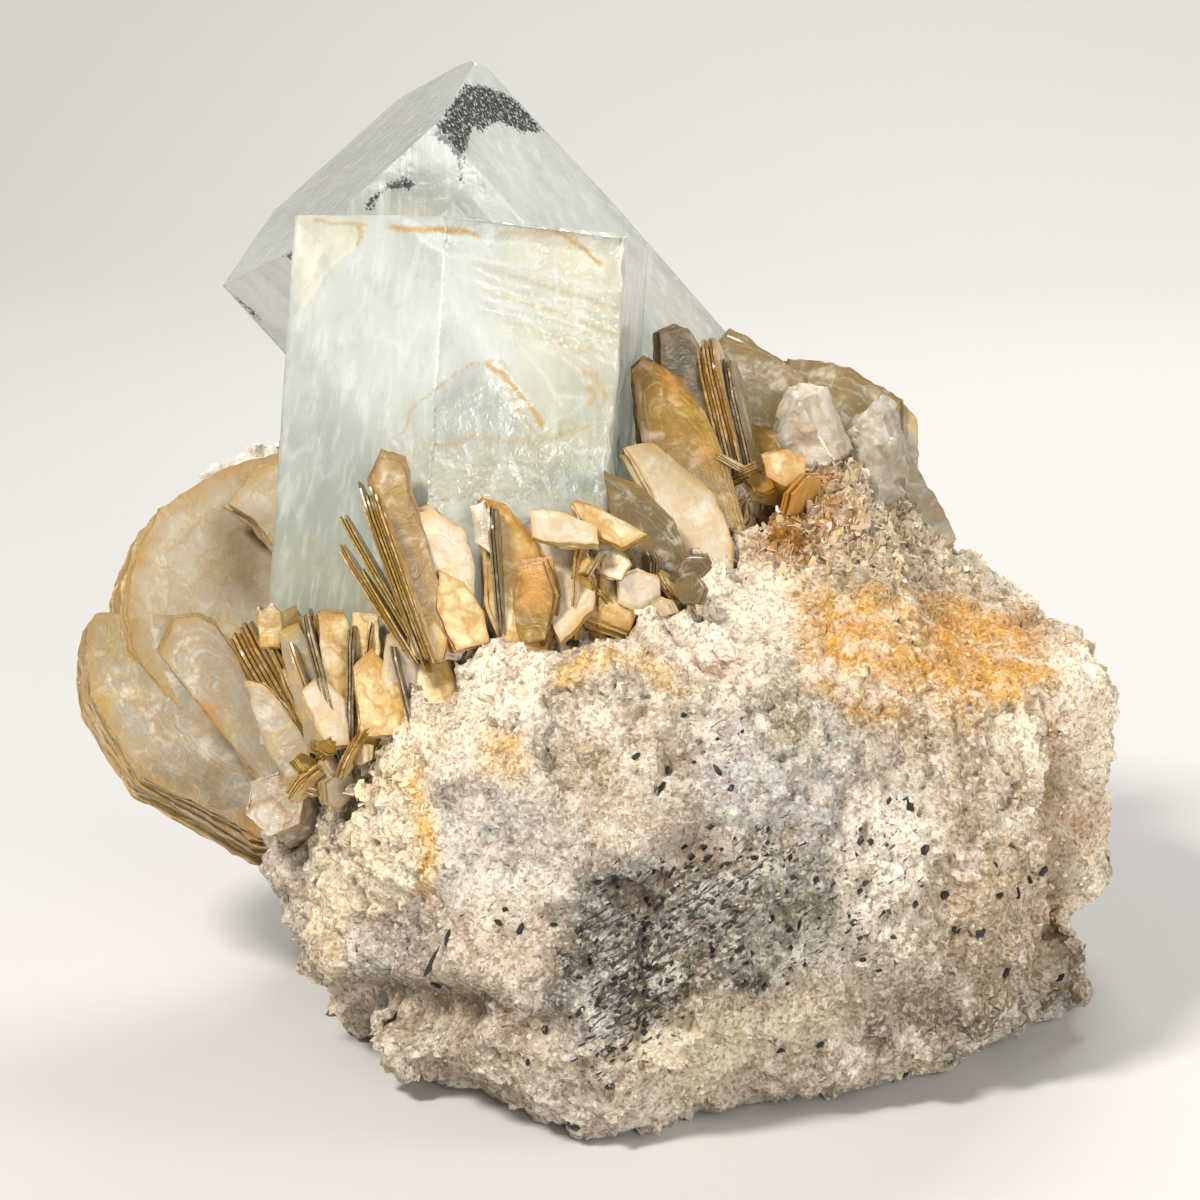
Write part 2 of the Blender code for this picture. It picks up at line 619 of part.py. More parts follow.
# Flat breaks: a point on each and the way it faces, as seen from the display side.
BREAKS = (
    ((10.0, -24.0, -27.0), (0.1, 0.35, -0.93)),
    ((-10.0, -22.0, -23.0), (-0.35, 0.15, -0.92)),
    ((30.0, -18.0, -17.5), (0.45, 0.3, -0.84)),
    ((24.0, -34.0, -17.0), (0.3, -0.35, -0.88)),
    ((-20.0, -32.0, -9.5), (-0.75, -0.1, -0.65)),
    ((40.0, -26.0, 2.0), (0.85, 0.0, -0.52)),
    ((20.0, -3.0, -12.0), (0.05, 0.8, -0.6)),
    ((34.0, -1.5, 12.0), (0.25, 0.93, -0.25)),
    ((-1.0, -35.0, -24.0), (-0.1, -0.2, -0.97)),
    ((14.0, -10.0, 50.5), (0.2, 0.15, 0.96)),
    ((-14.0, -18.0, 42.0), (-0.5, 0.1, 0.86)),
    ((34.0, -14.0, 42.0), (0.6, 0.2, 0.77)),
)
BREAK_PULL = 0.85
BREAK_REACH = 17.0


def rim_at(angle):
    """Distance from the middle and depth of the rim in one direction."""
    marks = []
    for across, up, behind in RIM:
        side, rise = across - LUMP_CENTRE[0], up - LUMP_CENTRE[1]
        marks.append((math.atan2(rise, side), math.hypot(side, rise), behind))
    marks.sort()
    marks = [(marks[-1][0] - math.tau, *marks[-1][1:]), *marks]
    marks.append((marks[1][0] + math.tau, *marks[1][1:]))
    for before, after in zip(marks, marks[1:]):
        if before[0] <= angle <= after[0]:
            share = (angle - before[0]) / max(after[0] - before[0], 1e-9)
            return tuple(a + (b - a) * share for a, b in zip(before[1:], after[1:]))
    return marks[0][1:]


def lump():
    """The main body, its outline as seen from the display side held to the rim."""
    work = bmesh.new()
    bmesh.ops.create_icosphere(work, subdivisions=LUMP_FINENESS, radius=1.0)
    for vert in work.verts:
        across, up, behind = vert.co
        distance, rim_depth = rim_at(math.atan2(up, across))
        flat = math.hypot(across, up)
        boxy = 0.98 if up > 0.35 * flat else 0.72
        share = flat**boxy
        bulge = FRONT_BULGE if behind < 0 else BACK_BULGE
        depth = rim_depth + (bulge - rim_depth) * abs(behind) ** boxy
        direction = Vector((across, up)).normalized() if flat > 1e-6 else Vector((0, 0))
        vert.co = spot(
            LUMP_CENTRE[0] + direction.x * (distance - RIM_INSET) * share,
            LUMP_CENTRE[1] + direction.y * (distance - RIM_INSET) * share,
            depth,
        )
    mesh = bpy.data.meshes.new("lump")
    work.to_mesh(mesh)
    work.free()
    obj = bpy.data.objects.new("lump", mesh)
    bpy.context.scene.collection.objects.link(obj)
    face_outwards(obj)
    return obj


def join_meshes(objects):
    whole = objects[0]
    work = bmesh.new()
    for obj in objects:
        work.from_mesh(obj.data)
    work.to_mesh(whole.data)
    work.free()
    for obj in objects[1:]:
        remove(obj)
    return whole


def break_flat(point):
    """Pulls a point back to the flat breaks that it stands proud of."""
    for place, facing_way in BREAKS:
        origin, outwards = spot(*place), heading(*facing_way)
        proud = (point - origin).dot(outwards)
        near = max(0.0, 1.0 - ((point - origin).length / BREAK_REACH) ** 4)
        if proud > 0.0:
            point = point - outwards * proud * BREAK_PULL * near
    return point


def block_lift(point, size, tilt, step):
    """How far a point stands proud in its own fracture block, which is tilted at random."""
    middle = noise.voronoi(point / size)[1][0]
    slope = Vector([noise.noise(middle * 3.7 + offset) for offset in BLOCK_OFFSETS])
    return (point / size - middle).dot(slope) * tilt + noise.noise(middle * 5.3) * step


def roughen(obj):
    for vert in obj.data.vertices:
        outwards = vert.normal.copy()
        point = break_flat(vert.co.copy())
        lift = sum(block_lift(point, *block) for block in BLOCK_SIZES)
        point += outwards * lift
        for size, height in ROUGHNESS_SIZES:
            lift = noise.noise(point / size + Vector((3.1, 7.7, size)))
            point += outwards * lift * height
        vert.co = point


def matrix_body():
    lumps = [
        chunk(centre, size, turns, seed=20 + index)
        for index, (centre, size, turns) in enumerate(LUMPS)
    ]
    body = join_meshes([lump(), *lumps])
    remesh = body.modifiers.new("fuse", "REMESH")
    remesh.mode = "VOXEL"
    remesh.voxel_size = VOXEL
    settle(body)
    roughen(body)
    slice_off(body, Vector((0, 0, 0)), Vector((0, 0, -1)))
    keep_largest(body)
    thin = body.modifiers.new("thin", "DECIMATE")
    thin.ratio = MATRIX_TRIANGLES / sum(len(face.vertices) - 2 for face in body.data.polygons)
    settle(body)
    slice_off(body, Vector((0, 0, 0.02)), Vector((0, 0, -1)))
    body.name = "feldspar_matrix"
    return body


# Materials


def material(name, colour, roughness):
    made = bpy.data.materials.new(name)
    made.use_nodes = True
    shader = made.node_tree.nodes["Principled BSDF"]
    shader.inputs["Base Color"].default_value = (*colour, 1.0)
    shader.inputs["Roughness"].default_value = roughness
    shader.inputs["Metallic"].default_value = 0.0
    return made


def beryl():
    made = material("beryl", (0.66, 0.72, 0.66), 0.12)
    made.node_tree.nodes["Principled BSDF"].inputs["Transmission Weight"].default_value = 0.8
    return made


def muscovite():
    return material("muscovite", (0.62, 0.47, 0.28), 0.25)


def feldspar():
    return material("feldspar", (0.56, 0.48, 0.37), 0.75)


def albite():
    return material("albite", (0.8, 0.78, 0.72), 0.5)


def quartz():
    return material("quartz", (0.55, 0.45, 0.32), 0.2)


def paint(obj, made):
    obj.data.materials.clear()
    obj.data.materials.append(made)


# Assembly


def seat(obj, others, gap=GAP):
    """Cuts room in a piece for the pieces that were there before it."""
    for maker in others:
        combine(obj, maker(gap), "DIFFERENCE")
    keep_largest(obj)


def to_metres(obj):
    obj.data.transform(Matrix.Translation(-STAND_CENTRE))
    obj.data.transform(Matrix.Scale(METRES, 4))
    obj.data.update()


def main():
    for obj in list(bpy.data.objects):
        bpy.data.objects.remove(obj)
    micas = (
        book_left_large, book_left_low, book_left_pointed, book_left_edge, fan_left, fan_small,
        spray_centre, cluster_centre, blade_grey, blade_beige, blade_amber, books_right,
        book_rusty, slabs_ridge, jumble_centre, jumble_upper, jumble_left,
    )
    stones = (albite_rim, quartz_upper, quartz_smoky, small_hex_crystal)
    finishes = {maker: muscovite for maker in micas}
    finishes.update({albite_rim: albite, quartz_upper: quartz, quartz_smoky: quartz})
    finishes[small_hex_crystal] = quartz
    prisms = aquamarine()
    paint(prisms, beryl())
    made, nodes = [aquamarine], [prisms]
    for maker in (quartz_upper, quartz_smoky, *micas, albite_rim, small_hex_crystal):
        piece = maker()
        name = piece.name
        seat(piece, made)
        piece.name = name
        paint(piece, finishes[maker]())
        made.append(maker)
        nodes.append(piece)
    body = matrix_body()
    seat(body, made)
    paint(body, feldspar())
    nodes.append(body)
    for obj in nodes:
        to_metres(obj)


main()
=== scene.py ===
# %% [markdown]
# # Aquamarine on feldspar
# A hand specimen: two intergrown aquamarine prisms stand on a broken block of granitic feldspar,
# with books of muscovite mica round their foot, two quartz crystals and a blade of white albite.
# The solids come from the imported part. This lesson gives each of them the surface of the real
# stone, and adds what grows too small for a solid: sheets, needles, crumbs and stains.

# %% Load the frame
import math
import random

import bmesh
import bpy
import numpy as np
from mathutils import Matrix, Vector
from mathutils.bvhtree import BVHTree


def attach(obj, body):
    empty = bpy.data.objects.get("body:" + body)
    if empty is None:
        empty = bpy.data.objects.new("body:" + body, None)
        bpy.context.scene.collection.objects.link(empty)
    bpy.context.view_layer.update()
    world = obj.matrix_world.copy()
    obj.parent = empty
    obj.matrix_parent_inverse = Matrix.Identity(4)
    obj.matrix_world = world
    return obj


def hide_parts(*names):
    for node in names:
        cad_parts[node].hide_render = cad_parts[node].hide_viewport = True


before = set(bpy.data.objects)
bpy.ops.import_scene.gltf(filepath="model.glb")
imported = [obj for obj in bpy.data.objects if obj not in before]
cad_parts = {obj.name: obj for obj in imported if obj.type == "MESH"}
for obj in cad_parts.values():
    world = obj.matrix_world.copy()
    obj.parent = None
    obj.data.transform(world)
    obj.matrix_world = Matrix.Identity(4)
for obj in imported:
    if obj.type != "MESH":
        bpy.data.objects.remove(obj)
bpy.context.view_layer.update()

print("solids in the frame:", len(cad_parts))

# %% [markdown]
# ## The display side
# The specimen has one side that it is shown from. Most marks on it are easiest to place as they
# are seen from there: so far across, so far up, and so far behind the middle. Two small functions
# turn such a place into a point in space and back, with the perspective of an eye 400 mm away.

# %% Places as seen from the display side
MM = 0.001
VIEW_TILT = math.radians(15.0)
EYE_DISTANCE = 400.0
LOOKED_AT = np.array([-0.61, -7.73, 40.28])
ACROSS = np.array([1.0, 0.0, 0.0])
UP = np.array([0.0, math.sin(VIEW_TILT), math.cos(VIEW_TILT)])
BEHIND = np.array([0.0, math.cos(VIEW_TILT), -math.sin(VIEW_TILT)])
PIXEL_MM = 0.09


def spot(seen_places):
    """Points in millimetres from rows of across, up and behind."""
    rows = np.atleast_2d(np.asarray(seen_places, float))
    spread = (1.0 + rows[:, 2] / EYE_DISTANCE)[:, None]
    flat = rows[:, :1] * ACROSS + rows[:, 1:2] * UP
    return LOOKED_AT + rows[:, 2:] * BEHIND + flat * spread


def as_seen(points):
    """Across and up of points in millimetres, and how far behind the middle they are."""
    offset = points - LOOKED_AT
    behind = offset @ BEHIND
    spread = 1.0 + behind / EYE_DISTANCE
    return np.stack([offset @ ACROSS / spread, offset @ UP / spread], axis=1), behind


def marks(*pixels):
    """Across and up of marks that were read off in the 1200 pixel picture."""
    return np.array([((x - 600) * PIXEL_MM, (600 - y) * PIXEL_MM) for x, y in pixels])


print("the middle of the view is", as_seen(LOOKED_AT[None])[0][0], "mm from itself")

# %% [markdown]
# ## Repeatable chance
# A stone looks random, but this file must give the same stone each time. So the random numbers
# are made from the place itself: each cell of a grid gets its own number, and everything else,
# soft clouds and angular grains, is built from those.


# %% Clouds and grains from a grid
def cell_number(cells, seed):
    """A fixed number from 0 to 1 for each cell of a grid."""
    cell = cells.astype(np.int64)
    key = cell[:, 0] * 73856093 ^ cell[:, 1] * 19349663 ^ cell[:, 2] * 83492791
    key = (key ^ (seed * 2654435761)) & 0x7FFFFFFF
    key = ((key ^ (key >> 13)) * 1274126177) & 0x7FFFFFFF
    key = ((key ^ (key >> 16)) * 668265263) & 0x7FFFFFFF
    return ((key ^ (key >> 15)) & 0xFFFFFF) / 0xFFFFFF


def cloud(points, size, seed=0):
    """Soft numbers from -1 to 1 that change over about one size."""
    scaled = points / size
    cell = np.floor(scaled)
    part = scaled - cell
    ease = part * part * (3.0 - 2.0 * part)
    total = np.zeros(len(points))
    for corner in np.ndindex(2, 2, 2):
        share = np.prod(np.where(corner, ease, 1.0 - ease), axis=1)
        total += share * cell_number(cell + corner, seed)
    return total * 2.0 - 1.0


def clouds(points, size, seed=0, layers=4, fade=0.5):
    total, weight = np.zeros(len(points)), 1.0
    for layer in range(layers):
        total += weight * cloud(points, size * 0.5**layer, seed + layer)
        weight *= fade
    return total


def grains(points, size, seed=0):
    """Distance to the nearest and the next grain middle, that grain's cell and the offset from it."""
    scaled = points / size
    cell = np.floor(scaled)
    nearest = np.full(len(points), 9.0)
    following = nearest.copy()
    middle = np.zeros_like(points)
    for shift in np.ndindex(3, 3, 3):
        other = cell + shift - 1
        place = other + np.stack([cell_number(other, seed + k) for k in range(3)], axis=1)
        distance = np.linalg.norm(scaled - place, axis=1)
        closer = distance < nearest
        following = np.where(closer, nearest, np.minimum(following, distance))
        middle[closer] = place[closer]
        nearest = np.where(closer, distance, nearest)
    return nearest, following, np.floor(middle), scaled - middle


def facets(points, size, tilt, step, seed=0):
    """How far each point stands proud of its grain, which is cut flat at its own angle."""
    _, _, cell, offset = grains(points, size, seed)
    slope = np.stack([cell_number(cell, seed + 5 + k) for k in range(3)], axis=1) * 2.0 - 1.0
    return (offset * slope).sum(axis=1) * tilt + (cell_number(cell, seed + 9) * 2.0 - 1.0) * step


sample = np.array([[1.0, 2.0, 3.0], [4.0, 5.0, 6.0]])
print("two cloud values:", cloud(sample, 2.0).round(3), "facets:", facets(sample, 2.0, 1, 1).round(3))


# %% [markdown]
# ## Marks with an outline
# A stain, a chip or a zone of another mineral has an outline on the display side. These two
# functions say how strongly a point belongs to such a zone or to a line.


# %% Zones and lines
def line_distance(where, line, closed=False):
    """Distance in millimetres from points to a line through marks."""
    ends = np.vstack([line, line[:1]]) if closed else line
    best = np.full(len(where), 1e9)
    for start, end in zip(ends[:-1], ends[1:]):
        run = end - start
        share = np.clip(((where - start) @ run) / max(run @ run, 1e-9), 0.0, 1.0)
        gap = np.linalg.norm(where - start - share[:, None] * run, axis=1)
        best = np.minimum(best, gap)
    return best


def on_line(where, line, width):
    return np.exp(-((line_distance(where, line) / width) ** 2))


def depth_inside(where, outline):
    """Distance to the outline: positive inside, negative outside."""
    ends = np.vstack([outline, outline[:1]])
    inside = np.zeros(len(where), bool)
    for (x, y), (x_next, y_next) in zip(ends[:-1], ends[1:]):
        rises = (y > where[:, 1]) != (y_next > where[:, 1])
        slope = (x_next - x) / (y_next - y + 1e-12)
        inside ^= rises & (where[:, 0] < x + (where[:, 1] - y) * slope)
    return np.where(inside, 1.0, -1.0) * line_distance(where, outline, closed=True)


def zone(where, outline, soft=1.0):
    """1 inside an outline and 0 outside, changing over a soft border."""
    return np.clip(depth_inside(where, outline) / soft * 0.5 + 0.5, 0.0, 1.0)


print("a zone at its middle:", zone(np.zeros((1, 2)), marks((500, 500), (700, 500), (600, 700))))


# %% [markdown]
# ## From solids to surfaces
# The imported solids arrive as loose triangles. A copy is merged before any work on it, and the
# copy then stands for its solid: it rides on the body named root.


# %% Copies, arrays and finished pieces
def merged_copy(node):
    """The mesh of a solid, with its loose triangles joined, as a bmesh in metres."""
    work = bmesh.new()
    work.from_mesh(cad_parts[node].data)
    bmesh.ops.remove_doubles(work, verts=work.verts, dist=1e-6)
    bmesh.ops.recalc_face_normals(work, faces=work.faces)
    return work


def object_from(name, work):
    mesh = bpy.data.meshes.new(name)
    work.to_mesh(mesh)
    work.free()
    obj = bpy.data.objects.new(name, mesh)
    bpy.context.scene.collection.objects.link(obj)
    return obj


def places_of(mesh):
    """Vertex places in millimetres and vertex normals."""
    places = np.empty(len(mesh.vertices) * 3, np.float32)
    normals = np.empty(len(mesh.vertices) * 3, np.float32)
    mesh.vertices.foreach_get("co", places)
    mesh.vertices.foreach_get("normal", normals)
    return places.reshape(-1, 3).astype(float) / MM, normals.reshape(-1, 3).astype(float)


def set_places(mesh, places):
    mesh.vertices.foreach_set("co", (places * MM).astype(np.float32).ravel())
    mesh.update()


def store(mesh, name, values):
    """Keeps one number for each vertex, for a material to read."""
    attribute = mesh.attributes.get(name) or mesh.attributes.new(name, "FLOAT", "POINT")
    attribute.data.foreach_set("value", np.asarray(values, np.float32))


def plain(obj):
    """Turns an object's modifiers into its mesh, so nothing live is left on it."""
    graph = bpy.context.evaluated_depsgraph_get()
    mesh = bpy.data.meshes.new_from_object(obj.evaluated_get(graph))
    obj.modifiers.clear()
    old = obj.data
    obj.data = mesh
    bpy.data.meshes.remove(old)
    mesh.name = obj.name
    return obj


def finished(obj, nodes=()):
    """Makes a piece ride on the root body and stand for the solids it replaces."""
    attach(obj, "root")
    if nodes:
        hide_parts(*nodes)
    count = sum(len(face.vertices) - 2 for face in obj.data.polygons)
    print(f"{obj.name}: {count} triangles")
    return obj


def smooth(obj, degrees):
    """Smooth shading across edges flatter than this angle."""
    mesh = obj.data
    mesh.shade_smooth()
    mesh.set_sharp_from_angle(angle=math.radians(degrees))


# %% [markdown]
# ## Materials
# Every finish is a Principled surface whose colour, roughness and bump come from nodes. Colours
# are named as on a paint card and turned to linear light by one function, and pattern sizes are
# given in real millimetres. One function adds a node with its settings and its links.


# %% Colour and node helpers
def paint(code):
    """A linear colour from a screen colour such as #d5cfb7."""
    parts = [int(code[k : k + 2], 16) / 255.0 for k in (1, 3, 5)]
    linear = [p / 12.92 if p <= 0.04045 else ((p + 0.055) / 1.055) ** 2.4 for p in parts]
    return (*linear, 1.0)


def per_mm(size):
    """The scale that makes a pattern repeat about once in this many millimetres."""
    return 1.0 / (size * MM)


def add(tree, kind, inputs=None, **settings):
    """Adds a node: settings are its properties, inputs are values or the outputs to link."""
    made = tree.nodes.new(kind)
    for name, value in settings.items():
        setattr(made, name, value)
    for key, value in (inputs or {}).items():
        if isinstance(value, bpy.types.NodeSocket):
            tree.links.new(value, made.inputs[key])
        else:
            made.inputs[key].default_value = value
    return made


def laid_over(tree, amount, colour, below):
    """A colour laid over another where amount is 1."""
    mixed = tree.nodes.new("ShaderNodeMix")
    mixed.data_type = "RGBA"
    for index, value in ((0, amount), (6, below), (7, colour)):
        if isinstance(value, bpy.types.NodeSocket):
            tree.links.new(value, mixed.inputs[index])
        else:
            mixed.inputs[index].default_value = paint(value) if isinstance(value, str) else value
    return mixed.outputs[2]


def tinted(tone, amount, code):
    """Painted vertices with a screen colour laid over them, as strongly as amount says."""
    return tone + np.asarray(amount)[:, None] * (np.array(paint(code)[:3]) - tone)


def painted(where, tone, zones):
    """Vertices painted zone by zone: colour, strength, soft border in millimetres, outline."""
    for code, strength, soft, outline in zones:
        tone = tinted(tone, strength * zone(where, outline, soft), code)
    return tone


def store_tone(mesh, tone):
    """Keeps the painted colour of each vertex, for a material to read."""
    full = np.ones((len(tone), 4), np.float32)
    full[:, :3] = np.clip(tone, 0.0, 1.0)
    mesh.attributes.new("tone", "FLOAT_COLOR", "POINT").data.foreach_set("color", full.ravel())


def new_finish(name):
    """An empty material and the coordinates of its own object."""
    made = bpy.data.materials.new(name)
    made.use_nodes = True
    tree = made.node_tree
    surface = tree.nodes["Principled BSDF"]
    place = tree.nodes.new("ShaderNodeTexCoord").outputs["Object"]
    return made, tree, surface, place


print("cream on a paint card is", [round(v, 2) for v in paint("#f9e4b9")[:3]], "in linear light")

# %% [markdown]
# ## The aquamarine
# Aquamarine grows as six-sided prisms with flat, glassy faces. These two are pale and milky: light
# goes in, meets fine veils and healed cracks, and comes out again. A mesh with only flat faces
# can't hold chips and cracks, so its long edges are halved until the display side is finely
# divided. The sharp edges of the solid stay where they are.


# %% Divide the crystal faces
def refined(work, limit):
    """Halves, again and again, each edge that is the longest of both its triangles."""
    while True:
        work.edges.index_update()
        lengths = [edge.calc_length() for edge in work.edges]
        votes = [0] * len(lengths)
        for face in work.faces:
            votes[max((lengths[edge.index], edge.index) for edge in face.edges)[1]] += 1
        chosen = [
            edge for edge, length, vote in zip(work.edges, lengths, votes)
            if vote == 2 and length > limit(edge)
        ]
        if not chosen:
            return work
        bmesh.ops.subdivide_edges(work, edges=chosen, cuts=1)
        halves = [face for face in work.faces if len(face.verts) > 3]
        bmesh.ops.triangulate(work, faces=halves, quad_method="SHORT_EDGE")


TO_VIEWER = Vector(-BEHIND)


def shown_edge(fine, coarse):
    """A length limit that is fine on faces turned to the display side and coarse elsewhere."""

    def limit(edge):
        turned = max((face.normal.dot(TO_VIEWER) for face in edge.link_faces), default=0.0)
        return (fine if turned > 0.12 else coarse) * MM

    return limit


crystals = object_from(
    "aquamarine_prisms", refined(merged_copy("aquamarine"), shown_edge(0.46, 1.6))
)
print("crystal mesh:", len(crystals.data.vertices), "vertices")

# %% [markdown]
# ### Chips and steps
# The front prism has lost a corner at its upper left and a flake along its top edge, and its
# right half is broken in curved steps. Each is a zone where the surface goes in, deeper towards
# the edge of the crystal, as a shell-shaped break does.

# %% Outlines of the broken places, read off in the picture
CORNER_CHIP = marks((292, 216), (362, 218), (358, 243), (344, 256), (327, 278), (312, 302), (296, 322))
EDGE_FLAKE = marks(
    (405, 216), (430, 243), (453, 255), (490, 262), (530, 268), (565, 281), (600, 292), (628, 286),
    (662, 262), (662, 216),
)
RIBS = marks((482, 268), (530, 268), (575, 282), (622, 296), (644, 300), (640, 352), (560, 352), (490, 318))
HOLLOW = marks(
    (396, 436), (412, 412), (430, 393), (447, 381), (463, 370), (487, 358), (512, 378), (533, 404),
    (560, 414), (600, 402), (624, 380), (640, 440), (610, 505), (540, 520), (440, 520), (400, 470),
)
RIGHT_BREAK = marks((628, 352), (650, 336), (668, 345), (668, 520), (612, 520), (600, 440), (610, 384))
LOWER_PLATE = marks((396, 436), (487, 440), (560, 437), (628, 416), (640, 520), (540, 545), (400, 520))


def stepped(value, step):
    """A ramp turned to steps with a short rise between them."""
    part = value / step
    low = np.floor(part)
    return (low + np.clip((part - low) * 2.2, 0.0, 1.0)) * step


def crystal_relief(points, where, behind):
    """How far the front prism's surface goes in, in millimetres."""
    front = np.clip((4.0 - behind) / 2.0, 0.0, 1.0)
    warped = where + 0.35 * np.stack([cloud(points, 2.4, 41), cloud(points, 2.4, 42)], axis=1)
    corner = np.clip(depth_inside(warped, CORNER_CHIP) + 0.2, 0.0, 9.0) * 0.2
    flake = np.clip(depth_inside(where, EDGE_FLAKE) + 0.35, 0.0, 9.0) * 0.3
    slant = where[:, 1] + 0.34 * where[:, 0] + 0.5 * cloud(points, 5.0, 43)
    ribs = zone(warped, RIBS, 1.2) * (0.16 + 0.22 * np.abs(np.sin(slant * 2.9)) ** 0.7)
    inside = np.clip(depth_inside(warped, HOLLOW), 0.0, 9.0)
    ripple = stepped(inside + 0.6 * clouds(points, 4.0, 44, 2), 0.9)
    hollow = 0.22 * np.minimum(inside, 1.6) + 0.05 * ripple * (inside > 0)
    plate = zone(warped, LOWER_PLATE, 0.5) * 0.16 * (1.0 + 0.4 * cloud(points, 3.0, 45))
    broken = np.clip(depth_inside(warped, RIGHT_BREAK), 0.0, 2.6)
    broken = broken * 0.5 + (broken > 0) * facets(points, 2.6, 0.7, 0.35, 46)
    fine = zone(warped, HOLLOW, 2.0) * facets(points, 4.0, 0.18, 0.06, 47)
    return front * np.maximum.reduce([corner, flake, ribs, hollow + plate + fine, broken])


places, normals = places_of(crystals.data)
where, behind = as_seen(places)
turned = np.clip(normals @ -BEHIND * 3.0, 0.0, 1.0)
sunk = crystal_relief(places, where, behind) * turned
growth_lines = 0.02 * cloud(places * [1.0, 1.0, 0.06], 0.8, 48) + 0.02 * cloud(places, 6.0, 49)
edge_wear = 0.05 * np.clip(cloud(places, 1.3, 50) - 0.35, 0.0, 1.0)
set_places(crystals.data, places - normals * (sunk + growth_lines + edge_wear)[:, None])
print("deepest chip:", round(float(sunk.max()), 2), "mm")

# %% [markdown]
# The tip of the rear prism is worn blunt. Each worn edge is a line on the display side, and
# points beyond it are brought back to it.

# %% Blunt the tip
TIP_EDGES = (marks((430, 75), (470, 61)), marks((470, 61), (487, 68)), marks((487, 68), (515, 98)))


def blunted(points, edges):
    for start, end in edges:
        where, _ = as_seen(points)
        run = (end - start) / np.linalg.norm(end - start)
        out = np.array([-run[1], run[0]])
        beyond = np.clip((where - start) @ out, 0.0, 9.0)
        points = points - beyond[:, None] * (out[0] * ACROSS + out[1] * UP)
    return points


places, _ = places_of(crystals.data)
worn = blunted(places, TIP_EDGES)
set_places(crystals.data, worn)
print("most worn off the tip:", round(float(np.abs(worn - places).max()), 2), "mm")

# %% [markdown]
# ### Stains and veils
# Iron has left orange lines in the cracks and a cream film on the broken places, milky veils lie
# in the prism, and dark dust sits under the faces of the rear prism, dense at its corners and
# thinning downwards. Each is kept as a number on the vertices, and the material gives it colour.

# %% Lines and zones on the crystals
CRACKS = (
    (marks((397, 433), (412, 412), (430, 393), (447, 381), (463, 370), (478, 361), (487, 358)), 0.16, 0.55),
    (marks((484, 361), (492, 368), (503, 372), (512, 384), (523, 397), (533, 410), (544, 422)), 0.26, 0.9),
    (marks((487, 358), (500, 362), (510, 380), (514, 400), (520, 413), (533, 427), (548, 436)), 0.2, 0.5),
    (marks((430, 447), (450, 448), (473, 436), (507, 443), (533, 441), (557, 437), (588, 424)), 0.35, 0.42),
    (marks((583, 370), (592, 376), (600, 388), (604, 398)), 0.3, 0.55),
    (marks((553, 232), (562, 236), (573, 243), (586, 252), (598, 263)), 0.22, 0.9),
    (marks((392, 226), (412, 228), (437, 229), (463, 232), (474, 236)), 0.3, 0.85),
    (marks((356, 226), (361, 233), (358, 244)), 0.3, 0.7),
    (marks((500, 232), (524, 233), (545, 232), (572, 236)), 0.4, 0.5),
    (marks((560, 342), (575, 352), (592, 346)), 0.25, 0.4),
    (marks((636, 318), (640, 350), (625, 372), (614, 392)), 0.5, 0.35),
    (marks((590, 388), (594, 396), (588, 404)), 0.5, 0.6),
    (marks((628, 374), (634, 395), (637, 420)), 0.3, 0.5),
    (marks((317, 224), (340, 224), (367, 225)), 0.2, 0.6),
)
PALE_EDGES = (
    (marks((405, 222), (422, 240), (439, 250), (453, 255), (490, 262), (530, 268), (565, 281), (600, 292), (628, 286)), 0.22),
    (marks((361, 232), (353, 248), (333, 262), (317, 284), (303, 307), (297, 330)), 0.25),
    (marks((483, 284), (520, 298), (555, 318)), 0.18), (marks((489, 293), (540, 312), (589, 329)), 0.15),
    (marks((511, 301), (555, 300), (594, 301)), 0.15), (marks((533, 323), (560, 345), (589, 362)), 0.2),
    (marks((517, 343), (540, 372), (561, 407)), 0.2), (marks((528, 343), (560, 355), (583, 373)), 0.15),
    (marks((555, 396), (578, 399), (600, 396)), 0.2), (marks((544, 423), (566, 416), (589, 401)), 0.2),
    (marks((451, 448), (462, 458), (474, 471)), 0.15), (marks((560, 440), (580, 452), (613, 448)), 0.2),
    (marks((600, 300), (622, 316), (640, 322)), 0.2), (marks((470, 470), (520, 468), (548, 480)), 0.15),
    (marks((548, 452), (545, 480), (556, 505)), 0.15), (marks((392, 440), (420, 470), (432, 500)), 0.15),
)
FRONT_ZONES = (
    ("#dce2dc", 0.8, 5.0, marks((285, 300), (430, 262), (440, 520), (280, 520))),
    ("#eef0e9", 0.9, 3.5, marks((425, 262), (520, 268), (560, 330), (520, 380), (450, 395), (420, 420))),
    ("#ddd7bf", 0.85, 4.0, marks((560, 262), (655, 243), (660, 540), (560, 540), (520, 400))),
    ("#e4dfca", 0.7, 2.5, marks((500, 300), (640, 310), (640, 350), (600, 372), (520, 345))),
    ("#bfbe9e", 0.9, 6.0, marks((270, 520), (340, 530), (420, 580), (430, 650), (270, 650))),
    ("#b6bcae", 0.8, 6.0, marks((285, 430), (390, 440), (390, 530), (285, 530))),
    ("#d8d3ba", 0.8, 3.0, marks((396, 436), (487, 440), (640, 416), (640, 530), (400, 530))),
    ("#efe6cf", 0.8, 1.0, CORNER_CHIP),
    ("#ece4cc", 0.85, 2.0, marks((500, 226), (656, 236), (660, 302), (652, 345), (600, 300), (520, 262))),
    ("#b7beb0", 0.85, 1.2, marks((548, 470), (590, 452), (613, 452), (606, 500), (552, 500))),
    ("#c9cdbf", 0.6, 2.0, marks((430, 388), (500, 380), (506, 415), (440, 425))),
)
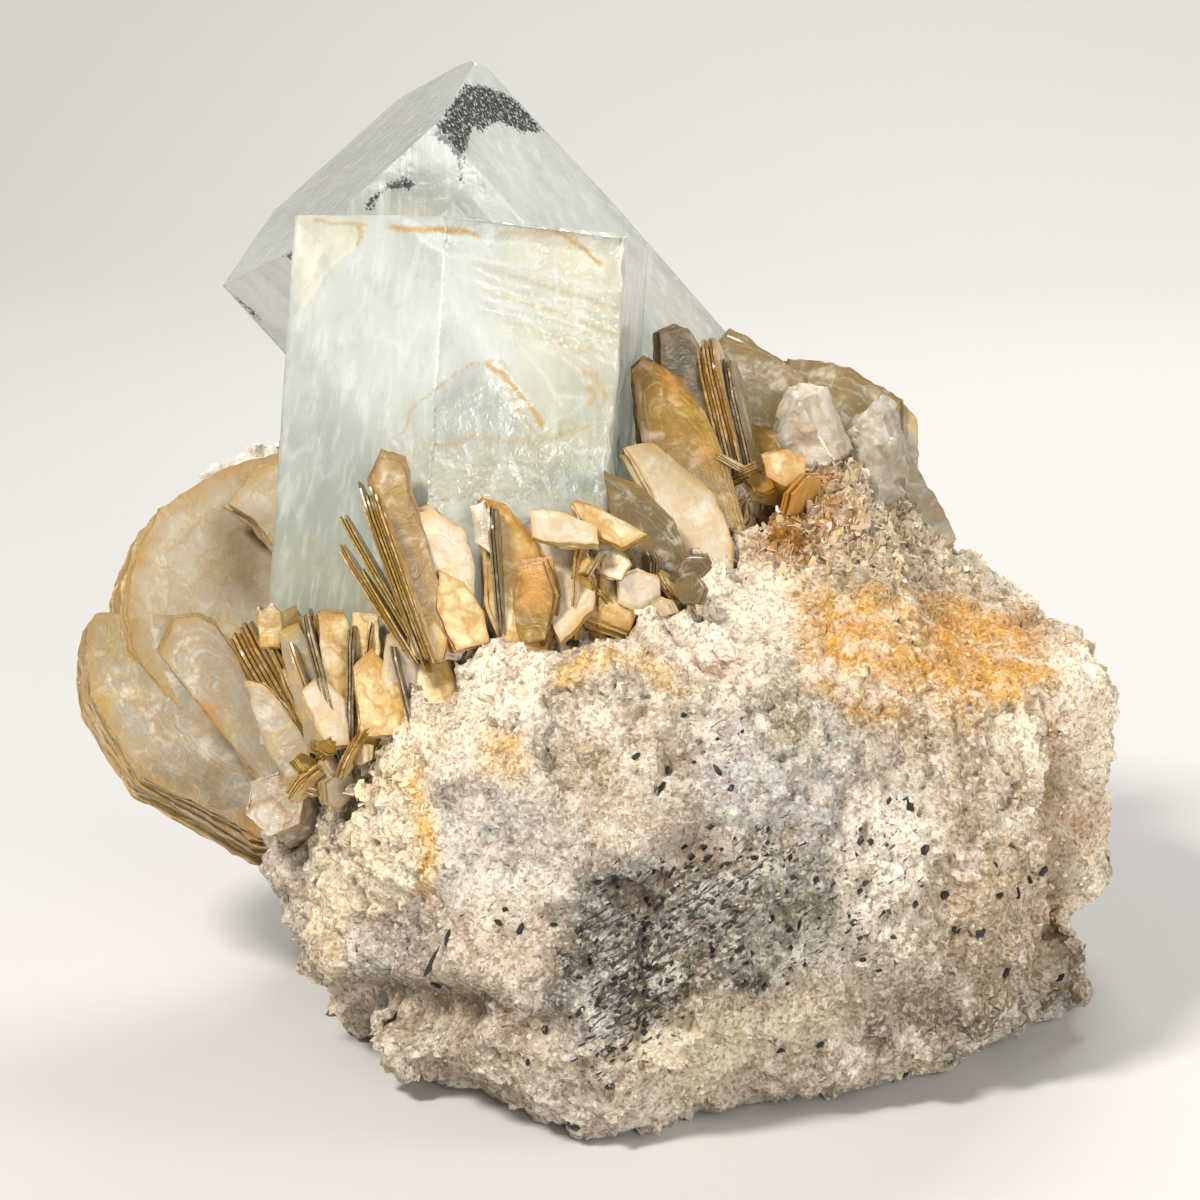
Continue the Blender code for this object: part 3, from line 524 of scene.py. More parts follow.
REAR_ZONES = (
    # Painted shade: a darker band down the left face of the rear prism.
    ("#cfd1ca", 0.8, 5.0, marks((222, 295), (300, 180), (430, 74), (440, 110), (300, 240), (290, 340))),
    ("#e4e7e1", 0.8, 4.0, marks((470, 160), (560, 150), (620, 236), (560, 232), (470, 226))),
    ("#a9aca2", 0.95, 4.0, marks((290, 226), (330, 185), (425, 110), (452, 160), (462, 200), (440, 226))),
    # Painted glow: a near-white patch on the lower left of the rear prism.
    ("#fafbf5", 0.95, 2.0, marks((238, 290), (289, 256), (296, 345), (284, 352), (262, 330))),
    ("#e2d6b8", 0.8, 1.2, marks((378, 226), (388, 213), (412, 209), (440, 213), (460, 229), (420, 236))),
    ("#d9d2be", 0.6, 5.0, marks((640, 260), (700, 290), (723, 330), (700, 345), (650, 330))),
)
DUST = (
    marks(
        (465, 80), (487, 85), (518, 98), (547, 132), (523, 138), (497, 124), (480, 137), (474, 130),
        (470, 145), (466, 160), (465, 186), (455, 184), (455, 160), (448, 150), (437, 142),
        (429, 138), (443, 112), (455, 93),
    ),
    marks(
        (362, 212), (367, 200), (390, 178), (405, 171), (418, 183), (411, 196), (403, 190),
        (387, 192), (373, 214),
    ),
    marks((281, 258), (293, 242), (297, 253), (290, 265)),
    marks((224, 294), (237, 294), (253, 306), (264, 322), (256, 326), (246, 314), (232, 303)),
)

places, normals = places_of(crystals.data)
where, behind = as_seen(places)
towards = np.clip(normals @ -BEHIND * 3.0, 0.0, 1.0)
front = np.clip((4.0 - behind) / 2.0, 0.0, 1.0)
warp = np.stack([clouds(places, 2.0, 61, 3), clouds(places, 2.0, 62, 3)], axis=1)
plain_tone = np.tile(paint("#dbdfd8")[:3], (len(places), 1))
tone = painted(where + 1.2 * warp, plain_tone, FRONT_ZONES) * front[:, None]
tone += painted(where + 0.6 * warp, plain_tone, REAR_ZONES) * (1.0 - front)[:, None]
tone = tone * towards[:, None] + plain_tone * (1.0 - towards)[:, None]
streaks = cloud(places * [1.0, 1.0, 0.07], 1.3, 66) + 0.6 * cloud(places * [1.0, 1.0, 0.1], 0.7, 67)
mist = clouds(places, 8.0, 68, 4)
tone = tone * (1.0 + 0.05 * streaks + 0.06 * mist)[:, None]
veil = np.clip(1.0 - 7.0 * np.abs(clouds(places * [1.0, 1.0, 0.5], 6.0, 69, 4, 0.6)), 0.0, 1.0)
veil *= np.clip(clouds(places, 9.0, 70, 2) + 0.55, 0.0, 1.0)
tone = tinted(tone, 0.55 * veil, "#fbfbf6")
healed = np.clip(1.0 - 9.0 * np.abs(clouds(places, 4.5, 71, 4, 0.6)), 0.0, 1.0)
tone = tinted(tone, 0.5 * healed * zone(where, LOWER_PLATE, 8.0) * front, "#a8a88c")
tone = tinted(tone, np.clip((26.0 - places[:, 2]) / 14.0, 0.0, 0.6) * (1.0 - towards), "#c9b58a")
for line, width in PALE_EDGES:
    tone = tinted(tone, 0.65 * on_line(where + 0.2 * warp, line, 0.75 * width) * front, "#fdfcf4")
rust = np.zeros(len(places))
for line, width, strength in CRACKS:
    rust = np.maximum(rust, strength * on_line(where + 0.35 * warp, line, width))
stained_ribs = zone(where, RIBS, 1.5) * np.clip(np.sin((where[:, 1] + 0.34 * where[:, 0]) * 2.9), 0, 1)
tone = tinted(tone, 0.45 * stained_ribs * front, "#d9c38c")
dust = np.zeros(len(places))
for outline in DUST:
    dust = np.maximum(dust, zone(where + 0.2 * warp, outline, 0.45))
dust = dust * (1.0 - front) * towards
store_tone(crystals.data, tone)
store(crystals.data, "rust", rust * front * towards)
store(crystals.data, "dust", dust)
store(crystals.data, "broken", np.clip(sunk * 2.0, 0.0, 1.0))
print("vertices with dust:", int((dust > 0.5).sum()))

# %% [markdown]
# ### The beryl finish
# Real milky beryl is clear glass full of fine veils. Here the surface is see-through for half of
# the light, with the refraction of beryl, 1.58, and the rest is a pale diffuse colour that carries
# veils, film and stains. A weak absorption inside gives the green-blue depth.


# %% Milky aquamarine
def milky_beryl():
    made, tree, surface, place = new_finish("aquamarine_milky")
    tone = add(tree, "ShaderNodeAttribute", attribute_name="tone").outputs["Color"]
    rust, dust, broken = [
        add(tree, "ShaderNodeAttribute", attribute_name=name).outputs["Fac"]
        for name in ("rust", "dust", "broken")
    ]
    along = add(tree, "ShaderNodeMapping", {"Vector": place, "Scale": (1.0, 1.0, 0.1)}).outputs[0]
    threads, mist, speck = [
        add(
            tree, "ShaderNodeTexNoise",
            {"Vector": vector, "Scale": per_mm(size), "Detail": 4.0, "Roughness": 0.65},
        ).outputs["Fac"]
        for vector, size in ((along, 1.2), (place, 3.0), (place, 0.32))
    ]
    thread = add(
        tree, "ShaderNodeMapRange",
        {"Value": threads, "From Min": 0.5, "From Max": 0.68, "To Min": 0.0, "To Max": 0.6},
    ).outputs[0]
    fog = add(
        tree, "ShaderNodeMapRange",
        {"Value": mist, "From Min": 0.48, "From Max": 0.3, "To Min": 0.0, "To Max": 0.4},
    ).outputs[0]
    sparkle = add(
        tree, "ShaderNodeMapRange",
        {"Value": speck, "From Min": 0.66, "From Max": 0.72, "To Min": 0.0, "To Max": 0.8},
    ).outputs[0]
    colour = laid_over(tree, thread, "#f8faf6", tone)
    colour = laid_over(tree, fog, "#b9c1b4", colour)
    colour = laid_over(tree, sparkle, "#ffffff", colour)
    ragged = add(
        tree, "ShaderNodeMath", {0: speck, 1: 0.9, 2: rust}, operation="MULTIPLY_ADD"
    ).outputs[0]
    edge = add(
        tree, "ShaderNodeMapRange",
        {"Value": ragged, "From Min": 0.6, "From Max": 1.25, "To Min": 0.0, "To Max": 0.9},
    ).outputs[0]
    colour = laid_over(tree, edge, "#d8a850", colour)
    grainy = add(
        tree, "ShaderNodeMath", {0: speck, 1: 1.9, 2: dust}, operation="MULTIPLY_ADD"
    ).outputs[0]
    sooty = add(
        tree, "ShaderNodeMapRange",
        {"Value": grainy, "From Min": 1.68, "From Max": 1.92, "To Min": 0.0, "To Max": 0.99},
    ).outputs[0]
    any_dust = add(tree, "ShaderNodeMath", {0: dust, 1: 0.06}, operation="GREATER_THAN").outputs[0]
    sooty = add(tree, "ShaderNodeMath", {0: sooty, 1: any_dust}, operation="MULTIPLY").outputs[0]
    colour = laid_over(tree, sooty, "#0c0e10", colour)
    tree.links.new(colour, surface.inputs["Base Color"])
    rough = add(
        tree, "ShaderNodeMapRange",
        {"Value": mist, "From Min": 0.3, "From Max": 0.7, "To Min": 0.1, "To Max": 0.24},
    ).outputs[0]
    tree.links.new(rough, surface.inputs["Roughness"])
    low = add(
        tree, "ShaderNodeBump", {"Height": threads, "Strength": 0.25, "Distance": 0.15 * MM}
    ).outputs[0]
    chipped = add(tree, "ShaderNodeMath", {0: broken, 1: 0.25, 2: 0.1}, operation="MULTIPLY_ADD").outputs[0]
    relief = add(
        tree, "ShaderNodeBump",
        {"Height": mist, "Strength": chipped, "Distance": 1.2 * MM, "Normal": low},
    ).outputs[0]
    tree.links.new(relief, surface.inputs["Normal"])
    surface.inputs["Transmission Weight"].default_value = 0.5
    surface.inputs["IOR"].default_value = 1.58
    depth = add(tree, "ShaderNodeVolumeAbsorption", {"Color": paint("#d6e8e0"), "Density": 10.0})
    tree.links.new(depth.outputs[0], tree.nodes["Material Output"].inputs["Volume"])
    return made


crystals.data.materials.clear()
crystals.data.materials.append(milky_beryl())
smooth(crystals, 24)
finished(crystals, ["aquamarine"])

# %% [markdown]
# ## The matrix
# The rock is a coarse granite: grey sugary quartz and feldspar in front, cream feldspar under the
# crystals, rust stains on the right, and black needles of tourmaline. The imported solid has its
# blocks and its outline. Remeshing it in even cells of half a millimetre makes room for the grain.

# %% Remesh the rock
ROCK_CELL = 0.56
rock = object_from("matrix_rock", merged_copy("feldspar_matrix"))
even = rock.modifiers.new("even cells", "REMESH")
even.mode = "VOXEL"
even.voxel_size = ROCK_CELL * MM
plain(rock)
soften = rock.modifiers.new("soften facets", "SMOOTH")
soften.factor = 0.5
soften.iterations = 8
plain(rock)
print("rock mesh:", len(rock.data.vertices), "vertices")

# %% [markdown]
# ### Zones of the rock
# The zones are painted before the relief, because each mineral breaks in its own way: the grey
# part is granular, the cream part is powdery with pits, and the rusty part is rough.

# %% Outlines of the rock's zones, read off in the picture
ROCK_ZONES = (
    ("#aea498", 0.9, 3.0, marks((330, 960), (436, 783), (560, 780), (700, 720), (840, 740), (850, 850), (700, 860),
                                (560, 1000), (400, 1000))),
    ("#f0e2ca", 1.0, 1.6, marks((400, 705), (450, 660), (520, 610), (620, 580), (740, 545), (800, 560), (815, 640),
                                (795, 700), (700, 690), (650, 650), (540, 650), (546, 720), (527, 773),
                                (498, 778), (440, 770), (410, 750))),
    ("#e6d5b4", 1.0, 1.5, marks((303, 840), (340, 800), (379, 760), (403, 710), (440, 700), (470, 750), (440, 790),
                                (441, 840), (431, 900), (403, 930), (317, 940), (298, 900))),
    ("#c7b79f", 0.9, 1.5, marks((546, 700), (600, 683), (660, 690), (690, 740), (690, 820), (640, 850), (570, 840),
                                (545, 780))),
    ("#a9a199", 0.7, 1.6, marks((440, 790), (530, 783), (560, 810), (550, 850), (440, 865))),
    ("#d7ccbd", 0.8, 2.0, marks((446, 850), (500, 845), (565, 850), (560, 905), (470, 915))),
    ("#cdbaa2", 0.8, 2.0, marks((430, 905), (565, 905), (570, 973), (450, 985))),
    ("#a59c92", 0.8, 1.4, marks((352, 926), (415, 920), (420, 980), (358, 985))),
    ("#dfcba6", 0.9, 1.2, marks((308, 925), (352, 930), (358, 985), (320, 990))),
    ("#b3a189", 0.9, 2.0, marks((345, 990), (440, 985), (540, 975), (535, 1060), (500, 1110), (400, 1060))),
    ("#6e6961", 1.0, 2.5, marks((560, 925), (620, 880), (700, 845), (790, 815), (810, 850), (760, 930), (700, 1010),
                                (620, 1050), (560, 1030))),
    ("#64573f", 0.9, 2.0, marks((612, 960), (700, 940), (740, 985), (690, 1050), (620, 1040))),
    ("#d8c8a8", 0.9, 2.2, marks((610, 1040), (700, 1005), (800, 985), (850, 1010), (800, 1060), (700, 1100),
                                (620, 1105))),
    ("#bcb1a2", 0.8, 2.0, marks((520, 1085), (620, 1100), (720, 1100), (690, 1150), (560, 1150))),
    ("#b8b0aa", 0.8, 3.0, marks((680, 730), (840, 700), (850, 800), (830, 850), (690, 850))),
    ("#a39d8a", 0.85, 2.0, marks((765, 665), (855, 668), (870, 740), (800, 760), (760, 720))),
    ("#b7a386", 0.95, 2.5, marks((855, 715), (960, 690), (1060, 760), (1065, 860), (1000, 900), (930, 850),
                                 (920, 780))),
    ("#b39c7d", 0.95, 2.5, marks((930, 850), (1060, 850), (1085, 960), (1060, 1010), (930, 1000))),
    ("#8e7f67", 0.85, 2.5, marks((880, 985), (960, 955), (1080, 970), (1060, 1030), (960, 1060), (870, 1070))),
    ("#857d6f", 0.8, 2.5, marks((690, 850), (845, 830), (860, 960), (780, 985), (700, 950))),
    ("#e2d8c5", 1.0, 1.6, marks((850, 790), (905, 775), (935, 830), (930, 890), (900, 935), (840, 920), (835, 850))),
    ("#dfa849", 1.0, 2.0, marks((800, 580), (870, 560), (960, 590), (1040, 630), (1060, 690), (1000, 720),
                                 (900, 690), (820, 680))),
    ("#a08e6c", 0.8, 1.6, marks((820, 545), (930, 550), (950, 585), (870, 600), (820, 590))),
    ("#e8d0a0", 0.8, 1.2, marks((880, 612), (920, 610), (930, 650), (885, 655))),
    ("#a8833f", 0.7, 1.0, marks((815, 690), (860, 690), (930, 715), (920, 728), (840, 712))),
    ("#9c8c5d", 0.6, 1.2, marks((770, 680), (800, 675), (808, 735), (775, 742))),
    ("#e0b45e", 1.0, 1.2, marks((541, 690), (550, 655), (600, 638), (655, 650), (675, 690), (640, 672), (590, 668))),
    ("#e0b04c", 1.0, 1.4, marks((486, 760), (495, 738), (528, 738), (530, 760), (505, 770))),
    ("#a58d64", 0.7, 1.4, marks((565, 735), (605, 728), (612, 770), (590, 785), (565, 770))),
    ("#dfb762", 1.0, 0.8, marks((417, 778), (436, 790), (441, 850), (430, 872), (420, 840))),
    ("#fff1d2", 1.0, 1.4, marks((1010, 715), (1050, 712), (1066, 760), (1075, 830), (1060, 870), (1040, 800),
                                (1010, 765))),
    ("#fbeace", 1.0, 1.2, marks((1045, 640), (1120, 650), (1125, 790), (1090, 800), (1060, 740))),
    ("#ae8a58", 0.8, 1.0, marks((1078, 640), (1120, 650), (1120, 690), (1095, 690))),
    ("#fdeed2", 1.0, 1.2, marks((1062, 790), (1112, 790), (1112, 900), (1080, 935), (1060, 900))),
    ("#b9782f", 0.75, 1.0, marks((1082, 800), (1105, 805), (1102, 860), (1086, 850))),
    ("#c4b49b", 0.9, 3.0, marks((830, 390), (960, 400), (1000, 560), (900, 570), (820, 540))),
    ("#ad7626", 1.0, 2.0, marks((745, 470), (833, 459), (840, 540), (800, 560), (745, 550))),
    ("#7c4f1c", 0.8, 1.0, marks((785, 500), (805, 495), (812, 540), (790, 548))),
)
ROCK_LINES = (
    ("#8f5530", 0.9, 0.55, marks((664, 614), (690, 640), (703, 655), (720, 662), (745, 664))),
    ("#e0b055", 0.9, 0.8, marks((419, 790), (433, 820), (441, 850), (428, 892))),
    # The next four lines are painted shade: a shadow's edge, the shade under a ledge on the right, a small dark
    # hole, and the shade under the lower ledge.
    ("#4d4438", 0.8, 0.9, marks((570, 950), (563, 980), (556, 1008))),
    ("#6b5a44", 0.8, 1.1, marks((880, 1030), (906, 1034), (941, 1030), (1000, 1016), (1063, 1004))),
    ("#3f3324", 0.9, 0.9, marks((738, 978), (750, 976), (764, 980))),
    ("#6f6555", 0.7, 0.9, marks((352, 985), (420, 988), (480, 1000), (548, 1030))),
    ("#c9974c", 0.7, 0.8, marks((800, 600), (806, 640), (812, 690), (850, 700), (900, 712))),
    ("#8a8270", 0.6, 0.8, marks((545, 696), (548, 740), (560, 790), (588, 830))),
    ("#9a7a48", 0.6, 0.7, marks((610, 600), (650, 640), (690, 676), (740, 684))),
    ("#b98436", 0.7, 0.7, marks((1062, 720), (1064, 780), (1062, 860), (1066, 920))),
)
RUSTY = (
    (marks((800, 590), (1060, 600), (1110, 660), (1050, 700), (900, 700), (800, 650)), 1.0),
    (marks((745, 465), (840, 465), (840, 550), (745, 550)), 1.0),
    (marks((930, 850), (1060, 840), (1060, 960), (930, 960)), 0.5),
    (marks((700, 950), (830, 900), (830, 1010), (700, 1060)), 0.3),
    (marks((1075, 640), (1120, 640), (1120, 700), (1085, 700)), 0.8),
)
FOLIATED = (
    (marks((560, 925), (620, 880), (700, 845), (790, 815), (810, 850), (760, 930), (700, 1010), (590, 1090),
           (560, 1030)), 1.0),
    (marks((660, 690), (760, 690), (760, 830), (690, 850)), 0.5),
    (marks((700, 850), (900, 780), (940, 900), (860, 1000), (720, 1000)), 0.6),
    (marks((340, 900), (560, 880), (560, 960), (350, 990)), 0.3),
)


def strongest(where, zones, soft):
    """How strongly points belong to any of some zones, given as outline and strength."""
    total = np.zeros(len(where))
    for outline, strength in zones:
        total = np.maximum(total, strength * zone(where, outline, soft))
    return total


places, normals = places_of(rock.data)
where, behind = as_seen(places)
faced = np.clip(normals @ -BEHIND * 2.5 + 0.75, 0.0, 1.0) * np.clip((28.0 - behind) / 8.0, 0.0, 1.0)
ragged = where + np.stack([clouds(places, 6.0, 71, 5, 0.6), clouds(places, 6.0, 72, 5, 0.6)], axis=1) * 1.3
rock_tone = np.tile(paint("#b9ab98")[:3], (len(places), 1))
seen_tone = painted(ragged, rock_tone, ROCK_ZONES)
for code, strength, width, line in ROCK_LINES:
    seen_tone = tinted(seen_tone, strength * on_line(0.5 * (where + ragged), line, width), code)
far_tone = tinted(rock_tone, np.clip(clouds(places, 16.0, 73, 4) * 1.4 + 0.15, 0.0, 1.0), "#e0cfae")
far_tone = tinted(far_tone, np.clip(clouds(places, 13.0, 74, 4) * 1.6 - 0.35, 0.0, 0.8), "#c99c5a")
far_dark = np.clip(clouds(places * [1.0, 1.0, 2.2], 15.0, 75, 4) * 1.6 - 0.5, 0.0, 0.8)
far_tone = tinted(far_tone, far_dark, "#857d72")
rock_tone = faced[:, None] * seen_tone + (1.0 - faced)[:, None] * far_tone
mottled = clouds(places, 2.6, 76, 3, 0.7)
rock_tone = tinted(rock_tone, np.clip(mottled - 0.2, 0.0, 0.45), "#f4eadb")
rock_tone = tinted(rock_tone, np.clip(-mottled - 0.4, 0.0, 0.3), "#9a8b74")
rust = faced * strongest(ragged, RUSTY, 2.0)
rust += (1.0 - faced) * np.clip(clouds(places, 12.0, 79, 3) - 0.2, 0.0, 1.0)
dark = faced * strongest(ragged, FOLIATED, 2.5) + (1.0 - faced) * far_dark
pale = faced * np.clip((rock_tone.mean(axis=1) - 0.42) * 3.0, 0.0, 1.0)
rock_masks = {"rust": rust, "dark": dark, "pale": pale}
for name, values in rock_masks.items():
    store(rock.data, name, values)
store_tone(rock.data, rock_tone)
print({name: round(float(values.mean()), 2) for name, values in rock_masks.items()})

# %% [markdown]
# ### Relief of the rock
# Broken granite shows flat little facets, one for each grain, on top of larger hollows and
# bulges. So facets of three sizes are added, finer ones weaker. A few hollows and the dark band,
# which is a groove, follow the picture.

# %% Grain and hollows
GROOVES = (
    (marks((560, 960), (640, 900), (700, 862), (770, 838)), 3.2, 1.5),
    (marks((440, 770), (436, 800), (440, 850), (425, 880)), 1.6, -0.9),
    (marks((545, 700), (560, 760), (590, 820), (600, 870)), 2.2, 0.7),
    (marks((664, 614), (690, 640), (703, 655), (720, 662), (745, 664)), 0.5, 0.9),
    (marks((690, 690), (680, 740), (690, 800), (700, 850)), 2.0, 0.9),
    (marks((340, 990), (400, 1000), (470, 1010), (540, 1040)), 2.2, 1.8),
    (marks((350, 965), (420, 968), (500, 975), (560, 985)), 1.6, -1.1),
    (marks((850, 1030), (920, 1010), (990, 1000), (1060, 960)), 2.2, 1.2),
    (marks((1062, 720), (1066, 790), (1064, 860), (1066, 930)), 1.2, 1.6),
    (marks((1050, 700), (1085, 720), (1115, 730)), 0.7, 0.9),
    (marks((1070, 790), (1095, 780), (1118, 790)), 0.7, 0.9),
    (marks((700, 950), (760, 930), (840, 900)), 1.5, 0.7),
)


def rock_relief(points, where, faced, masks):
    streaks = points * [1.0, 1.0, 0.55]
    lift = 0.75 * clouds(points, 11.0, 81, 3)
    lift += facets(points, 6.0, 0.9, 0.5, 82) * 0.55
    lift += facets(streaks, 2.6, 0.75, 0.36, 86) * 0.8
    lift += facets(points, 1.35, 0.5, 0.26, 90)
    lift += 0.2 * cloud(points, 0.9, 94)
    pits = np.clip(cloud(points, 1.7, 95) - 0.42, 0.0, 1.0)
    lift -= pits * (1.6 + 1.4 * masks["pale"])
    for line, width, depth in GROOVES:
        lift -= faced * depth * on_line(where, line, width)
    return lift


lift = rock_relief(places, where, faced, rock_masks)
grown = places + normals * lift[:, None]
grown[:, 2] = np.maximum(grown[:, 2], 0.0)
standing = (places[:, 2] < 0.5) & (normals[:, 2] < -0.5)
grown[standing] = places[standing]
# Painted shade: this number darkens the low places of the relief in the material.
store(rock.data, "hollow", np.clip(-lift * 0.5 - 0.2, 0.0, 1.0))
set_places(rock.data, grown)
print("relief from", round(float(lift.min()), 2), "to", round(float(lift.max()), 2), "mm")

# %% [markdown]
# ### The finish of the rock
# Four colours are laid over each other where the zones say so, each broken up by grain of half a
# millimetre to a few millimetres. Small black flecks lie in stretched cells, hollows are darker
# with painted shade, and a fine bump adds the sugary surface that is too small for the mesh.


# %% Granite with feldspar, rust and black flecks
def granite(name="granite_grey_cream_rust"):
    made, tree, surface, place = new_finish(name)
    tone = add(tree, "ShaderNodeAttribute", attribute_name="tone").outputs["Color"]
    rust, dark, hollow = [
        add(tree, "ShaderNodeAttribute", attribute_name=key).outputs["Fac"]
        for key in ("rust", "dark", "hollow")
    ]
    patch, grain, sugar = [
        add(
            tree, "ShaderNodeTexNoise",
            {"Vector": place, "Scale": per_mm(size), "Detail": detail, "Roughness": 0.75},
        ).outputs["Fac"]
        for size, detail in ((2.4, 4.0), (0.7, 4.0), (0.26, 2.0))
    ]
    cells = add(tree, "ShaderNodeTexVoronoi", {"Vector": place, "Scale": per_mm(0.32)})
    own_number = add(tree, "ShaderNodeSeparateColor", {"Color": cells.outputs["Color"]}).outputs[0]
    shadow = add(
        tree, "ShaderNodeMix", {0: 1.0, 6: tone, 7: paint("#a39078")},
        data_type="RGBA", blend_type="MULTIPLY",
    ).outputs[2]
    glint = laid_over(tree, 0.5, "#fffaf0", tone)
    dim, lit = [
        add(
            tree, "ShaderNodeMapRange",
            {"Value": value, "From Min": start, "From Max": end, "To Min": 0.0, "To Max": most},
        ).outputs[0]
        for value, start, end, most in ((grain, 0.45, 0.36, 0.65), (grain, 0.53, 0.64, 0.5))
    ]
    colour = laid_over(tree, dim, shadow, tone)
    colour = laid_over(tree, lit, glint, colour)
    few_dark, few_light = [
        add(
            tree, "ShaderNodeMapRange",
            {"Value": own_number, "From Min": start, "From Max": end, "To Min": 0.0, "To Max": most},
        ).outputs[0]
        for start, end, most in ((0.28, 0.12, 0.5), (0.66, 0.9, 0.65))
    ]
    colour = laid_over(tree, few_dark, shadow, colour)
    colour = laid_over(tree, few_light, glint, colour)
    spread = add(
        tree, "ShaderNodeMath", {0: patch, 1: 1.3, 2: rust}, operation="MULTIPLY_ADD"
    ).outputs[0]
    rusty = add(
        tree, "ShaderNodeMapRange",
        {"Value": spread, "From Min": 1.55, "From Max": 1.85, "To Min": 0.0, "To Max": 0.75},
    ).outputs[0]
    rust_tone = laid_over(tree, sugar, "#d9992f", "#8f5a18")
    colour = laid_over(tree, rusty, rust_tone, colour)
    direction = [
        add(tree, "ShaderNodeVectorMath", {0: place, 1: tuple(axis)}, operation="DOT_PRODUCT").outputs["Value"]
        for axis in (BAND * 0.3, BAND_ASIDE, BEHIND)
    ]
    stretched = add(
        tree, "ShaderNodeCombineXYZ", {"X": direction[0], "Y": direction[1], "Z": direction[2]}
    ).outputs[0]
    flakes = add(
        tree, "ShaderNodeTexNoise",
        {"Vector": stretched, "Scale": per_mm(0.42), "Detail": 3.0, "Roughness": 0.6},
    ).outputs["Fac"]
    banded = add(
        tree, "ShaderNodeMath", {0: dark, 1: 0.17, 2: flakes}, operation="MULTIPLY_ADD"
    ).outputs[0]
    black = add(
        tree, "ShaderNodeMapRange",
        {"Value": banded, "From Min": 0.7, "From Max": 0.74, "To Min": 0.0, "To Max": 0.92},
    ).outputs[0]
    colour = laid_over(tree, black, "#2b2825", colour)
    # Painted shade in the low places of the relief.
    deep = add(tree, "ShaderNodeMath", {0: hollow, 1: 0.5}, operation="MULTIPLY").outputs[0]
    colour = laid_over(tree, deep, "#80694a", colour)
    tree.links.new(colour, surface.inputs["Base Color"])
    rough = add(
        tree, "ShaderNodeMapRange",
        {"Value": own_number, "From Min": 0.8, "From Max": 1.0, "To Min": 0.75, "To Max": 0.2},
    ).outputs[0]
    tree.links.new(rough, surface.inputs["Roughness"])
    coarse = add(
        tree, "ShaderNodeBump", {"Height": grain, "Strength": 0.9, "Distance": 0.5 * MM}
    ).outputs[0]
    relief = add(
        tree, "ShaderNodeBump",
        {"Height": sugar, "Strength": 0.8, "Distance": 0.25 * MM, "Normal": coarse},
    ).outputs[0]
    centred = add(
        tree, "ShaderNodeVectorMath", {0: cells.outputs["Color"], 1: (0.5, 0.5, 0.5)},
        operation="SUBTRACT",
    ).outputs[0]
    tipped = add(
        tree, "ShaderNodeVectorMath", {0: centred, 1: (0.32, 0.32, 0.32), 2: relief},
        operation="MULTIPLY_ADD",
    ).outputs[0]
    facing_grain = add(tree, "ShaderNodeVectorMath", {0: tipped}, operation="NORMALIZE").outputs[0]
    tree.links.new(facing_grain, surface.inputs["Normal"])
    return made


BAND = math.cos(0.6) * ACROSS + math.sin(0.6) * UP
BAND_ASIDE = math.cos(0.6) * UP - math.sin(0.6) * ACROSS
rock.data.materials.clear()
rock.data.materials.append(granite())
smooth(rock, 38)
finished(rock, ["feldspar_matrix"])

# %% [markdown]
# ## Books of mica
# Muscovite grows as books: stacks of thin six-sided sheets that part from each other at the edge.
# Seen from the front they are pearly, with lines that repeat the outline; seen on the edge they
# are striped brown and cream. One sheet is drawn from its outline, and Geometry Nodes stack it:
# the count, the pitch, how much the sheets differ and how ragged they are become named inputs.


# %% One sheet
def resampled(outline, spacing):
    """The outline with extra points, so that its rim can be ragged."""
    ends = np.vstack([outline, outline[:1]])
    points = []
    for start, end in zip(ends[:-1], ends[1:]):
        steps = max(1, int(np.ceil(np.linalg.norm(end - start) / spacing)))
        points += [start + (end - start) * k / steps for k in range(steps)]
    return np.array(points)


def sheet_object(outline, thick, spacing=0.7):
    """A closed sheet in millimetres that keeps how near each point is to the rim."""
    border = resampled(outline, spacing)
    count = len(border)
    rows = [
        (0.3, 0.0), (0.6, 0.0), (0.86, 0.0), (1.0, 0.12), (1.0, 0.88), (0.86, 1.0), (0.6, 1.0), (0.3, 1.0)
    ]
    points, rim = [(0.0, 0.0, 0.0)], [0.0]
    for share, height in rows:
        points += [(x * share, y * share, height * thick) for x, y in border]
        rim += [share] * count
    points.append((0.0, 0.0, thick))
    rim.append(0.0)
    faces = [(0, 1 + (k + 1) % count, 1 + k) for k in range(count)]
    side = [0.0] * count
    for row in range(len(rows) - 1):
        start = 1 + row * count
        for k in range(count):
            after = (k + 1) % count
            faces.append((start + k, start + after, start + count + after, start + count + k))
            side.append(float(row == 3))
    last = len(points) - 1
    faces += [(last, last - count + k, last - count + (k + 1) % count) for k in range(count)]
    side += [0.0] * count
    mesh = bpy.data.meshes.new("sheet")
    mesh.from_pydata(points, [], faces)
    store(mesh, "rim", rim)
    mesh.attributes.new("side", "FLOAT", "FACE").data.foreach_set("value", side)
    obj = bpy.data.objects.new("sheet", mesh)
    bpy.context.scene.collection.objects.link(obj)
    return obj


# %% [markdown]
# The tree puts a point for each sheet on a short line, sets a sheet on every point, a little
# smaller and turned by chance, makes them real and then moves their rims by a noise that is
# different in each sheet.


# %% The stack as a node tree
def named_inputs(tree, kinds):
    """Adds group inputs and gives back their identifiers by name."""
    found = {}
    for name, kind in kinds:
        socket = tree.interface.new_socket(name, in_out="INPUT", socket_type=kind)
        found[name] = socket.identifier
    tree.interface.new_socket("Geometry", in_out="OUTPUT", socket_type="NodeSocketGeometry")
    return found


